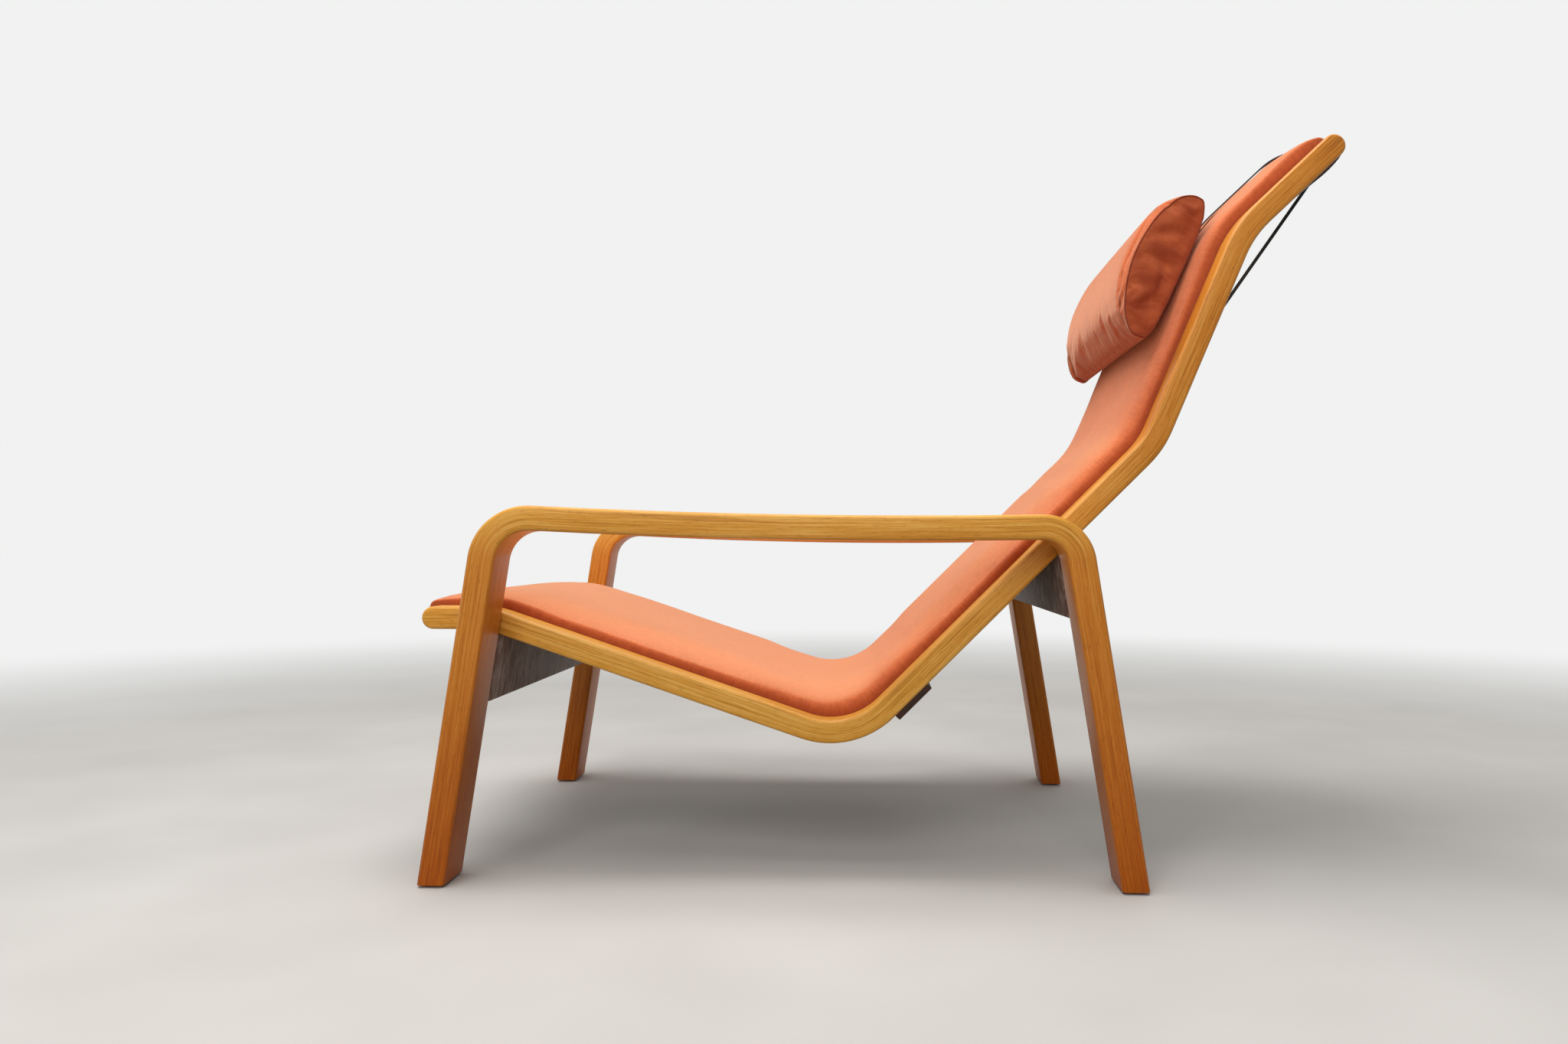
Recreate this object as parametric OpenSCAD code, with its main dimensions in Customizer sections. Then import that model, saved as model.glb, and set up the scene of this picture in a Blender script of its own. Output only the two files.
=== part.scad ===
// Bentwood high-back lounge chair with a slung seat and back pad and a head pillow on two straps.
// Millimetres. The chair faces -Y, +Z is up and X runs across it. The origin is on the floor,
// in the middle of the chair's width and length.

/* [Arm frames] */
// Width over the outside of the two arm frames
overall_width = 654; // [600:1:720]
// Width of one arm frame, measured across the chair
arm_width = 64; // [52:1:70]
// Thickness of the laminated arm frame along the armrest
arm_thickness = 30; // [26:1:34]
// Thickness of the laminated arm frame down the legs
leg_thickness = 33; // [28:1:36]
// Height of the lowest point of the armrest's top above the floor
arm_height = 448.5; // [440:0.5:480]
// Distance along the lower back from its corner with the seat to the bolt in the rear leg
rear_bolt_along = 389; // [383:0.5:395]
// Distance from the rails' nose back to the toe of the front foot
foot_setback = 21.5; // [15.5:0.5:27.5]
// Lean of the front leg from upright, in degrees
front_leg_lean = 8.6; // [7.5:0.1:9.5]
// Lean of the rear leg from upright, in degrees
rear_leg_lean = 9.3; // [8.5:0.1:10.5]
// Outer radius of the bend above the front leg
front_bend_radius = 72; // [60:1:90]
// Outer radius of the bend above the rear leg
rear_bend_radius = 62; // [54:1:80]
// Radius of the shallow dip along the armrest's top
arm_dip_radius = 9000; // [7500:100:12000]
// Distance from the toe of the front foot to the dip's lowest point
arm_dip_from_toe = 573; // [545:1:595]
// Thickness of a floor glide's plate
glide_thickness = 3; // [2:0.5:5]
// Diameter of a floor glide's plate
glide_diameter = 22; // [16:1:24]

/* [Pad rails] */
// Gap between an arm frame and the pad rail beside it, filled by a spacer at each bolt
rail_gap = 2; // [2:0.5:6]
// Width of a pad rail, measured across the chair
rail_width = 38; // [34:1:46]
// Depth of a pad rail, from its seat side to its underside
rail_depth = 28.5; // [26:0.5:32]
// Height of the underside of the nose above the floor
nose_height = 305.5; // [300:0.5:312]
// Length of the level nose
nose_length = 80.5; // [74.5:0.5:88.5]
// Length of the seat, along the rail's underside
seat_length = 491; // [484:1:500]
// Slope of the seat down to the back, in degrees
seat_slope = 18.7; // [18:0.1:19.5]
// Length of the lower back
lower_back_length = 544; // [534:1:556]
// Slope of the lower back from level, in degrees
lower_back_angle = 45; // [44:0.1:46]
// Length of the middle back
mid_back_length = 288; // [280:1:300]
// Slope of the middle back from level, in degrees
mid_back_angle = 67.4; // [66:0.1:69]
// Length of the head end
head_length = 161; // [155:1:169]
// Slope of the head end from level, in degrees
head_angle = 43.5; // [41.5:0.1:45.5]
// Bend radius at the nose, on the underside
nose_bend_radius = 100; // [70:5:130]
// Bend radius between seat and back, on the underside
seat_bend_radius = 114; // [106:1:124]
// Bend radius between the lower and the middle back, on the rear
lumbar_bend_radius = 130; // [120:2:150]
// Bend radius between the middle back and the head end, on the rear
neck_bend_radius = 125; // [110:5:150]

/* [Cross members] */
// Thickness of the boards that join the arm frames
board_thickness = 22; // [18:1:24]
// Height of the front board's lower edge above the floor
front_board_low = 218; // [205:1:230]
// Height of the rear board's lower edge above the floor
rear_board_low = 326; // [314:1:336]
// Diameter of the wooden dowels
dowel_diameter = 10; // [8:1:12]
// Length of a wooden dowel
dowel_length = 40; // [30:2:44]
// Thickness of the flat slat under the lower back
lower_slat_thickness = 10; // [8:0.5:12]
// Length of that slat along the rails
lower_slat_length = 57; // [48:1:66]
// How far the slat's ends stop short of the rails' outer faces
lower_slat_inset = 17; // [10:1:20]
// Thickness of the slat that holds the straps
strap_slat_thickness = 9; // [8:0.5:9]
// Width of that slat along the rails
strap_slat_width = 42; // [36:1:48]
// Distance along the middle back from its lower corner to that slat's middle
strap_slat_at = 109; // [100:1:116]
// Diameter of the dowels in that slat's ends
slat_dowel_diameter = 6; // [5:0.5:6]
// Width of the lens-shaped top slat, along the rails
top_slat_width = 60; // [52:1:64]
// How deep the top slat is let into the rails
top_slat_let_in = 7; // [5:0.5:8]
// How far the top slat stands proud behind the rails
top_slat_proud = 3.5; // [2.5:0.5:4]
// Distance of the top slat's middle from the rails' top end
top_slat_from_end = 38; // [36:1:44]
// How far the top slat's ends stop short of the rails' outer faces
top_slat_inset = 12; // [8:1:16]

/* [Fasteners] */
// Shank diameter of the bolts through the rails
bolt_diameter = 8; // [6:1:9]
// Head diameter of those bolts
bolt_head_diameter = 16; // [14:1:18]
// Depth of the sinking for a bolt head
bolt_head_height = 8; // [6:1:10]
// Diameter of the threaded inserts in the legs
insert_diameter = 12; // [11:0.5:14]
// Length of a threaded insert
insert_length = 20; // [14:1:24]
// Shank diameter of the slat screws
screw_diameter = 4.5; // [3.5:0.5:5]

/* [Webbing] */
// Width of one band of elastic webbing
webbing_width = 50; // [40:2:54]
// Thickness of the webbing
webbing_thickness = 2; // [1.5:0.25:2.5]
// Number of webbing bands under the seat
seat_bands = 5; // [3:1:5]
// Number of webbing bands behind the lower back, of which one lies above the rear bolts
lower_back_bands = 4; // [2:1:4]
// Number of webbing bands behind the middle back
mid_back_bands = 3; // [1:1:3]
// Depth of the slots that hold the webbing's ends in the rails
slot_depth = 10; // [8:1:14]

/* [Pad] */
// Height of the pad's crown above the rails' underside at the nose
pad_nose_height = 40.5; // [38:0.5:44]
// Height of the pad's crown at the bend between the nose and the seat
pad_corner_height = 51; // [47:0.5:54]
// Height of the pad's crown under the sitter and the lower back
pad_seat_height = 60; // [56:0.5:64]
// Height of the pad's crown behind the pillow and the head
pad_head_height = 54; // [52:0.5:58]
// Height where the pad's sides are widest
pad_side_height = 28; // [25:0.5:30]
// Height of the pad's underside
pad_low_height = 13.8; // [13.8:0.2:16]
// Gap between the pad and each rail
pad_side_gap = 1; // [0.5:0.5:2]
// Roundness of the pad's shoulders along the seat and back, where 2 is an ellipse and more is squarer
pad_shoulder = 3.5; // [2.5:0.25:5]
// Roundness of the pad's shoulders at its two ends
pad_end_shoulder = 8; // [5:0.5:9]
// Radius of the pad's crown in the bend between seat and back
seat_crown_radius = 100; // [60:5:120]
// Radius of the pad's crown in the bend between the lower and the middle back
lumbar_crown_radius = 170; // [80:5:200]
// How far the pad's front reaches past the nose of the rails
pad_nose_overhang = 13; // [8:1:15]
// Radius of the pad's roll at the nose
nose_roll_radius = 18; // [14:0.5:20]
// Radius of the pad's roll at the head end
head_roll_radius = 23; // [22:0.5:24]
// How far that roll reaches past the rails' top end
head_roll_overhang = 14; // [12:0.5:16]
// How far that roll stands proud behind the rails
head_roll_proud = 2; // [1:0.5:3]
// Radius of the long droop that leads into that roll
head_droop_radius = 82; // [75:1:100]

/* [Pillow and straps] */
// Length of the head pillow across the chair
pillow_length = 400; // [360:5:430]
// Height of the head pillow along the back
pillow_height = 198; // [184:1:210]
// Thickness of the head pillow at its end panels
pillow_thickness = 63; // [56:1:70]
// How much fuller the pillow is between its end panels than at them
pillow_fullness = 0.08; // [0.04:0.01:0.12]
// How far the pillow's upper edge stands above the corner of the neck bend
pillow_over_neck = 44; // [38:1:50]
// How much further than the pad the pillow leans back at its ends, in degrees
pillow_tilt = 2.3; // [1:0.1:2.5]
// How far the pillow's back settles towards the pad at its ends
pillow_end_drop = 4; // [2:0.5:4]
// Thickness of the piping round the pillow's end panels
piping_thickness = 3; // [2:0.5:4]
// Distance of each strap from the middle of the chair
strap_offset = 139; // [110:1:160]
// Width of a strap
strap_width = 20; // [16:1:26]
// Thickness of a strap
strap_thickness = 2; // [1.5:0.25:2.5]
// Length of strap that lies on the slat that holds it
strap_end_length = 30; // [26:1:32]
// Radius of the strap's bend where it meets that slat
strap_bend_radius = 20; // [12:1:30]
// Thickness of the fabric loops on the pillow's back
loop_thickness = 0.8; // [0.6:0.1:1.2]
// Length of a fabric loop along the strap
loop_length = 40; // [30:1:42]
// Running gap round a strap in its loop, and between a loop and the pad
strap_clearance = 0.3; // [0.3:0.1:0.6]
// How far the pillow slides down from the place where it is drawn
slide_down = 45; // [30:1:45]
// How far the pillow slides up from the place where it is drawn
slide_up = 15; // [5:1:15]

/* [Hidden] */
$fn = 96;

honey = "#c07a35";
honey_light = "#cf8f4a";
dark_wood = "#4a3a30";
steel = "#b9bcc0";
coral = "#e08257";
coral_dark = "#c4683f";
black = "#1b1a1c";
cream = "#e9d9a0";

// Gap between two hard parts that touch, and between two soft layers
fit = 0.05;
soft_gap = 0.3;
far = 2000;

function dir(a) = [cos(a), sin(a)];
function left_of(a) = [-sin(a), cos(a)];

// Rail path: the rails' underside and rear line, as straight lengths with a bend at each corner
segments = [0, 1, 2, 3, 4];
NOSE = segments[0];
SEAT = segments[1];
LOWER = segments[2];
MID = segments[3];
HEAD = segments[4];
lengths = [nose_length, seat_length, lower_back_length, mid_back_length, head_length];
headings = [0, -seat_slope, lower_back_angle, mid_back_angle, head_angle];
radii = [0, nose_bend_radius, seat_bend_radius, lumbar_bend_radius, neck_bend_radius, 0];
function turn(i) = (i <= NOSE || i > HEAD) ? 0 : headings[i] - headings[i - 1];
function tangent(i) = radii[i] * tan(abs(turn(i)) / 2);
function run(i) = i == NOSE ? [0, 0] : run(i - 1) + lengths[i - 1] * dir(headings[i - 1]);
function head_frame(s, out) = run(HEAD) + s * dir(head_angle) + out * left_of(head_angle);

// Height of the pad's surface beside its crown, as a share of the height above its widest line
function share(x, half, shoulder) = pow(1 - pow(abs(x) / half, shoulder), 1 / shoulder);
arm_outer = overall_width / 2;
arm_inner = arm_outer - arm_width;
rail_outer = arm_inner - rail_gap;
rail_inner = rail_outer - rail_width;
pad_half = rail_inner - pad_side_gap;
strap_share = share(strap_offset - strap_width / 2, pad_half, pad_end_shoulder);

// Roll at the head end, in the head's frame: distance along the rail, and out from its rear line
roll_s = head_length + head_roll_overhang - head_roll_radius;
roll_out = head_roll_radius - head_roll_proud;
function droop_angle(height, centre_out, roll, droop) =
    acos((centre_out - height + droop) / (droop - roll));
function droop_start(height, centre_out, roll, droop) =
    roll_s - (droop - roll) * sin(droop_angle(height, centre_out, roll, droop));

// Straps: inner face over the pad, over the roll and down to the slat that holds them
strap_low = pad_side_height + (pad_head_height - pad_side_height) * strap_share
    + soft_gap + loop_thickness + strap_clearance;
strap_roll_radius = head_roll_radius * strap_share + soft_gap;
strap_roll_out = pad_side_height + (roll_out - pad_side_height) * strap_share;
strap_droop = droop_angle(strap_low, strap_roll_out, strap_roll_radius, head_droop_radius);
strap_droop_start = droop_start(strap_low, strap_roll_out, strap_roll_radius, head_droop_radius);
strap_roll_centre = head_frame(roll_s, strap_roll_out);
strap_slat_top = strap_slat_at + strap_slat_width / 2;
strap_edge = 4;
strap_bend_centre = run(MID) + (strap_slat_top - strap_edge) * dir(mid_back_angle)
    - (strap_bend_radius + soft_gap) * left_of(mid_back_angle);
strap_reach = strap_bend_centre - strap_roll_centre;
strap_heading = atan2(strap_reach[1], strap_reach[0])
    - asin((strap_bend_radius + strap_roll_radius) / norm(strap_reach));
strap_end_heading = mid_back_angle - 180;

// The chair is centred from the pad's front to the back of the straps at the head end
rear_reach = strap_roll_centre[0] + strap_roll_radius + strap_thickness;
rail_y = (pad_nose_overhang - rear_reach) / 2;
origin = [rail_y, nose_height];
function vertex(i) = origin + run(i);
function bend_start(i) = vertex(i) - tangent(i) * dir(headings[i - 1]);
function bend_heading(i, part) = headings[i - 1] + part * turn(i);
function bend_centre(i) = bend_start(i) + sign(turn(i)) * radii[i] * left_of(headings[i - 1]);
function bend_point(i, part) =
    bend_centre(i) - sign(turn(i)) * radii[i] * left_of(bend_heading(i, part));

// Paths in the YZ plane: lists of [point, heading], and bars drawn between two offsets from a path,
// where an offset counts to the left of the heading
arc_step = 4;
function arc(start, heading, radius, angle) =
    let (
        side = sign(angle),
        centre = start + side * radius * left_of(heading),
        n = ceil(abs(angle) / arc_step)
    )
    [for (k = [0 : n]) let (h = heading + angle * k / n) [centre - side * radius * left_of(h), h]];
function line_of(path, offset) = [for (p = path) p[0] + offset * left_of(p[1])];
function reversed(list) = [for (k = [len(list) - 1 : -1 : 0]) list[k]];
function bar(path, low, high) = concat(line_of(path, low), reversed(line_of(path, high)));
module at_point(p, heading) {
    translate([0, p[0], p[1]]) rotate([heading, 0, 0]) children();
}
module on_rail(i, s) {
    at_point(vertex(i), headings[i]) translate([0, s, 0]) children();
}
function rail_point(i, s) = [vertex(i) + s * dir(headings[i]), headings[i]];
function rail_bend(i) = arc(bend_start(i), headings[i - 1], radii[i], turn(i));
// The rails' underside line from one distance to another, through each bend between them
function rail_path(i0, s0, i1, s1) = concat(
    [rail_point(i0, s0)],
    [for (i = [i0 + 1 : 1 : i1]) for (p = rail_bend(i)) p],
    [rail_point(i1, s1)]
);
module both_sides() {
    children();
    mirror([1, 0, 0]) children();
}
module rod(x0, x1, diameter) {
    translate([x0, 0, 0]) rotate([0, 90, 0]) cylinder(h = x1 - x0, d = diameter);
}
// Profile drawn in Y and Z, carried across the chair
module across(x0, x1, outline) {
    translate([x0, 0, 0]) rotate([90, 0, 90]) linear_extrude(x1 - x0) polygon(outline);
}

// Arm frame: leg, bend, dipped armrest, bend, leg. It thickens from the armrest down to the legs.
mid_t = arm_thickness / 2;
leg_t = leg_thickness / 2;
function half_thickness(heading) = mid_t + (leg_t - mid_t) * pow(sin(heading), 2);
toe_y = rail_y + foot_setback;
front_heading = 90 - front_leg_lean;
rear_heading = rear_leg_lean - 90;
front_leg_t = half_thickness(front_heading);
rear_leg_t = half_thickness(rear_heading);
front_foot = [toe_y + front_leg_t / cos(front_leg_lean), 0];
rear_bolt = vertex(LOWER) + rear_bolt_along * dir(lower_back_angle)
    + rail_depth / 2 * left_of(lower_back_angle);
rear_foot = [rear_bolt[0] + rear_bolt[1] * tan(rear_leg_lean), 0];
dip_centre = [toe_y + arm_dip_from_toe, arm_height + arm_dip_radius];
dip_mid_radius = arm_dip_radius + mid_t;
dip_steps = 8;
// Distance up a leg's middle line to the start of the bend that meets the armrest's dip
function leg_length(foot, up, inward, r) =
    let (w = foot + r * inward - dip_centre, b = w * up)
    -b - sqrt(b * b - w * w + pow(dip_mid_radius + r, 2));
front_r = front_bend_radius - mid_t;
rear_r = rear_bend_radius - mid_t;
front_up = dir(front_heading);
rear_up = -dir(rear_heading);
front_in = -left_of(front_heading);
rear_in = -left_of(rear_heading);
front_leg_length = leg_length(front_foot, front_up, front_in, front_r);
rear_leg_length = leg_length(rear_foot, rear_up, rear_in, rear_r);
front_bend_at = front_foot + front_leg_length * front_up;
rear_bend_at = rear_foot + rear_leg_length * rear_up;
front_to_dip = front_bend_at + front_r * front_in - dip_centre;
rear_to_dip = rear_bend_at + rear_r * rear_in - dip_centre;
arm_start_heading = atan2(front_to_dip[1], front_to_dip[0]) + 90;
arm_end_heading = atan2(rear_to_dip[1], rear_to_dip[0]) + 90;
arm_end = dip_centre + dip_mid_radius * dir(arm_end_heading - 90);

// Frames on the legs: +Y up the leg from the floor, +Z to the chair's front
module on_front_leg(along) {
    at_point(front_foot + along * front_up, front_heading) children();
}
module on_rear_leg(along) {
    at_point(rear_foot + along * rear_up, rear_heading + 180) children();
}
front_board_start = front_board_low / front_up[1];
rear_board_start = rear_board_low / rear_up[1];
front_board_face = -front_leg_t;
rear_board_face = rear_leg_t - board_thickness;
board_reach = 130;
board_dowel_low = 18;
board_dowel_step = 40;

// Bolts through the rails into the legs, where the middles of both cross
nose_bolt_drop = 2.4;
front_bolt_z = nose_height + rail_depth / 2 - nose_bolt_drop;
front_bolt = front_foot + front_up * (front_bolt_z / front_up[1]);
bolts = [front_bolt, rear_bolt];
head_spare = 0.5;
bolt_start = rail_inner + head_spare;
bolt_end = arm_inner + insert_length - 2;
spacer_diameter = bolt_diameter + 12;
module at_bolts() {
    for (p = bolts) translate([0, p[0], p[1]]) children();
}

module board_dowels_at(x0, x1, diameter) {
    for (k = [0, 1]) {
        on_front_leg(front_board_start + board_dowel_low + k * board_dowel_step)
            translate([0, 0, front_board_face + board_thickness / 2]) rod(x0, x1, diameter);
        on_rear_leg(rear_board_start + board_dowel_low + k * board_dowel_step)
            translate([0, 0, rear_board_face + board_thickness / 2]) rod(x0, x1, diameter);
    }
}

glide_pin = 12;
glide_pin_diameter = 4;
glide_spots = [front_foot, rear_foot];

arm_path = concat(
    [[front_foot - leg_thickness * front_up, front_heading]],
    arc(front_bend_at, front_heading, front_r, arm_start_heading - front_heading),
    [for (k = [1 : dip_steps - 1])
        let (h = arm_start_heading + (arm_end_heading - arm_start_heading) * k / dip_steps)
        [dip_centre + dip_mid_radius * dir(h - 90), h]],
    arc(arm_end, arm_end_heading, rear_r, rear_heading - arm_end_heading),
    [[rear_foot - leg_thickness * rear_up, rear_heading]]
);
function arm_side(side) = [for (p = arm_path) p[0] + side * half_thickness(p[1]) * left_of(p[1])];
module arm_frame() {
    color(honey) difference() {
        across(arm_inner, arm_outer, concat(arm_side(-1), reversed(arm_side(1))));
        translate([0, -far / 2, glide_thickness - far]) cube([far, far, far]);
        at_bolts() rod(0, arm_inner + insert_length + fit, insert_diameter + 2 * fit);
        board_dowels_at(0, arm_inner + dowel_length / 2 + fit, dowel_diameter + 2 * fit);
        for (p = glide_spots) translate([arm_inner + arm_width / 2, p[0], 0])
            cylinder(h = glide_thickness + glide_pin + fit, d = glide_pin_diameter + 2 * fit);
    }
}

module floor_glides() {
    color(steel) both_sides() for (p = glide_spots) translate([arm_inner + arm_width / 2, p[0], 0]) {
        cylinder(h = glide_thickness - fit, d = glide_diameter);
        cylinder(h = glide_thickness + glide_pin, d = glide_pin_diameter);
    }
}

// Room that the rails and the pad take between the arm frames, from the rails' underside inwards
module rail_room() {
    path = rail_path(NOSE, 0, SEAT, seat_length / 2);
    across(-arm_inner, arm_inner, bar(path, -fit, board_reach));
}
module back_room() {
    path = rail_path(LOWER, tangent(LOWER), LOWER, lower_back_length);
    across(-arm_inner, arm_inner, bar(path, -fit, board_reach));
}
module board(face) {
    translate([-arm_inner + fit, 0, face]) cube([2 * (arm_inner - fit), board_reach, board_thickness]);
}
module board_holes() {
    both_sides()
        board_dowels_at(arm_inner - dowel_length / 2 - fit, arm_inner + fit, dowel_diameter + 2 * fit);
}

module front_board() {
    color(dark_wood) difference() {
        on_front_leg(front_board_start) board(front_board_face);
        rail_room();
        board_holes();
    }
}

module rear_board() {
    color(dark_wood) difference() {
        on_rear_leg(rear_board_start) board(rear_board_face);
        back_room();
        board_holes();
    }
}

module board_dowels() {
    color(honey_light) both_sides()
        board_dowels_at(arm_inner - dowel_length / 2, arm_inner + dowel_length / 2, dowel_diameter);
}

// Top slat: lens-shaped, let into the rear of the rails near their top end
top_slat_half = rail_outer - top_slat_inset;
module top_slat_lens(x0, x1, grow) {
    mid = (top_slat_let_in - top_slat_proud) / 2;
    half = (top_slat_let_in + top_slat_proud) / 2 + grow;
    reach = top_slat_width / 2 + grow;
    outline = [for (a = [0 : 12 : 348]) [reach * cos(a), mid + half * sin(a)]];
    on_rail(HEAD, head_length - top_slat_from_end) across(x0, x1, outline);
}

// Webbing bands lie between the rails, just inside their underside
webbing_low = 10;
clip_wall = 1;
slot_height = webbing_thickness + 2 * clip_wall + 2 * fit;
function band_spots(i, from, to, count) =
    [for (k = [0 : count - 1]) [i, from + (to - from) * (k + 0.5) / count]];
seat_spots = band_spots(SEAT, tangent(SEAT) + 14, seat_length - tangent(LOWER) - 4, seat_bands);
band_to_bolt = bolt_head_diameter / 2 + 1;
lower_spots = concat(
    band_spots(LOWER, tangent(LOWER), rear_bolt_along - band_to_bolt, lower_back_bands - 1),
    band_spots(LOWER, rear_bolt_along + band_to_bolt, lower_back_length - tangent(MID), 1)
);
mid_spots = band_spots(MID, tangent(MID) + 4, mid_back_length - tangent(HEAD), mid_back_bands);
webbing_mid = webbing_low + webbing_thickness / 2;
clip_width = webbing_width + 1;
module band_box(x0, x1, width, height) {
    translate([x0, -width / 2, webbing_mid - height / 2]) cube([x1 - x0, width, height]);
}
module bands(spots) {
    for (p = spots) on_rail(p[0], p[1])
        band_box(-rail_inner - slot_depth + 2 * clip_wall, rail_inner + slot_depth - 2 * clip_wall,
            webbing_width, webbing_thickness);
}

lower_slat_start = tangent(LOWER) + 1;
lower_slat_half = rail_outer - lower_slat_inset;
slat_screw_x = (rail_inner + lower_slat_half) / 2;
slat_screw_in = 14;
screw_head_diameter = 2 * screw_diameter;
screw_head_height = 3;
// The screws stop short of the slots for the webbing
screw_length = lower_slat_thickness + webbing_low - clip_wall - 1 - screw_head_height;
top_screw_x = (rail_inner + top_slat_half) / 2;
// Slat screws: [segment, distance along it, distance from the middle, height of the head's face]
screw_spots = [
    [LOWER, lower_slat_start + slat_screw_in, slat_screw_x, -lower_slat_thickness],
    [LOWER, lower_slat_start + lower_slat_length - slat_screw_in, slat_screw_x, -lower_slat_thickness],
    [HEAD, head_length - top_slat_from_end, top_screw_x, -top_slat_proud]
];
module screws(grow, below) {
    for (p = screw_spots) on_rail(p[0], p[1]) translate([p[2], 0, p[3] - below]) {
        cylinder(h = screw_head_height + grow + below, d = screw_head_diameter + 2 * grow);
        cylinder(h = screw_head_height + screw_length + grow + below, d = screw_diameter + 2 * grow);
    }
}

slat_dowel_half = 15;
module slat_dowels_at(x0, x1, diameter) {
    for (side = [-1, 1]) on_rail(MID, strap_slat_at + side * strap_slat_width / 4)
        translate([0, 0, strap_slat_thickness / 2]) rod(x0, x1, diameter);
}

function half_round(i, s, a0) = [
    for (k = [0 : 12]) vertex(i) + (s + rail_half * cos(a0 + 15 * k)) * dir(headings[i])
        + rail_half * (1 + sin(a0 + 15 * k)) * left_of(headings[i])
];
rail_half = rail_depth / 2;
rail_line = rail_path(NOSE, rail_half, HEAD, head_length - rail_half);
rail_outline = concat(
    line_of([for (k = [1 : len(rail_line) - 2]) rail_line[k]], 0),
    half_round(HEAD, head_length - rail_half, -90),
    reversed(line_of([for (k = [1 : len(rail_line) - 2]) rail_line[k]], rail_depth)),
    half_round(NOSE, rail_half, 90)
);
module pad_rail() {
    color(honey) difference() {
        across(rail_inner, rail_outer, rail_outline);
        top_slat_lens(0, top_slat_half + fit, fit);
        at_bolts() {
            rod(0, far, bolt_diameter + 2 * fit);
            rod(0, bolt_start + bolt_head_height, bolt_head_diameter + 2 * fit);
        }
        for (p = concat(seat_spots, lower_spots, mid_spots)) on_rail(p[0], p[1])
            band_box(0, rail_inner + slot_depth, clip_width + 2 * fit, slot_height);
        screws(fit, 0);
        slat_dowels_at(0, rail_inner + slat_dowel_half + fit, slat_dowel_diameter + 2 * fit);
    }
}

module lower_slat() {
    chamfer = lower_slat_thickness / 2;
    w = lower_slat_half;
    section = [
        [-w, -fit], [-w, -chamfer], [-w + chamfer, -lower_slat_thickness],
        [w - chamfer, -lower_slat_thickness], [w, -chamfer], [w, -fit]
    ];
    color(dark_wood) difference() {
        on_rail(LOWER, lower_slat_start)
            rotate([90, 0, 0]) translate([0, 0, -lower_slat_length])
            linear_extrude(lower_slat_length) polygon(section);
        both_sides() screws(fit, 1);
    }
}

module strap_slat() {
    half = rail_inner - fit;
    color(dark_wood) difference() {
        on_rail(MID, strap_slat_at) translate([-half, -strap_slat_width / 2, 0])
            cube([2 * half, strap_slat_width, strap_slat_thickness]);
        both_sides() {
            slat_dowels_at(rail_inner - slat_dowel_half - fit, far, slat_dowel_diameter + 2 * fit);
            stud_shanks(fit);
        }
    }
}

module slat_dowels() {
    color(honey_light) both_sides()
        slat_dowels_at(rail_inner - slat_dowel_half, rail_inner + slat_dowel_half, slat_dowel_diameter);
}

module top_slat() {
    color(dark_wood) difference() {
        top_slat_lens(-top_slat_half, top_slat_half, 0);
        both_sides() screws(fit, 1);
    }
}

socket_across = bolt_diameter * 0.7;
module frame_bolts() {
    color(steel) both_sides() at_bolts() difference() {
        union() {
            rod(bolt_start, bolt_start + bolt_head_height - fit, bolt_head_diameter);
            rod(bolt_start, bolt_end, bolt_diameter);
        }
        translate([rail_inner, 0, 0]) rotate([0, 90, 0])
            cylinder(h = bolt_head_height / 2, d = socket_across, $fn = 6);
    }
}

module bolt_spacers() {
    color(black) both_sides() at_bolts() difference() {
        rod(rail_outer + fit, arm_inner - fit, spacer_diameter);
        rod(0, far, bolt_diameter + 2 * fit);
    }
}

module leg_inserts() {
    color(steel) both_sides() at_bolts() difference() {
        rod(arm_inner, arm_inner + insert_length, insert_diameter);
        rod(0, far, bolt_diameter + 2 * fit);
    }
}

module slat_screws() {
    color(steel) both_sides() screws(0, 0);
}

module seat_webbing() {
    color(black) bands(seat_spots);
}

module back_webbing() {
    color(black) bands(concat(lower_spots, mid_spots));
}

module webbing_clips() {
    end = rail_inner + slot_depth - clip_wall;
    color(steel) both_sides() for (p = concat(seat_spots, lower_spots, mid_spots)) on_rail(p[0], p[1])
        difference() {
            band_box(rail_inner + clip_wall, end, clip_width, slot_height - 2 * fit);
            band_box(0, end - clip_wall + fit, webbing_width + 2 * fit, webbing_thickness + 2 * fit);
        }
}

// Lining: the cloth that closes the pad's underside, above the webbing
lining_inset = 20;
lining_half = pad_half - lining_inset;
lining_high = pad_low_height - 2 * soft_gap;
lining_low = webbing_low + webbing_thickness + soft_gap;
lining_from = 30;
lining_to = head_length - 14;
module pad_lining() {
    path = rail_path(NOSE, lining_from, HEAD, lining_to);
    color(cream) across(-lining_half, lining_half, bar(path, lining_low, lining_high));
}

// Pad: loops in the YZ plane, one for each place across the chair. A station is
// [point on the widest line, crown point, underside point, its point on the widest line, roundness].
function in_frame(i, s, out) = vertex(i) + s * dir(headings[i]) + out * left_of(headings[i]);
function on_straight(i, s, height, shoulder) =
    let (spine = in_frame(i, s, pad_side_height))
    [spine, in_frame(i, s, height), in_frame(i, s, pad_low_height), spine, shoulder];
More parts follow.
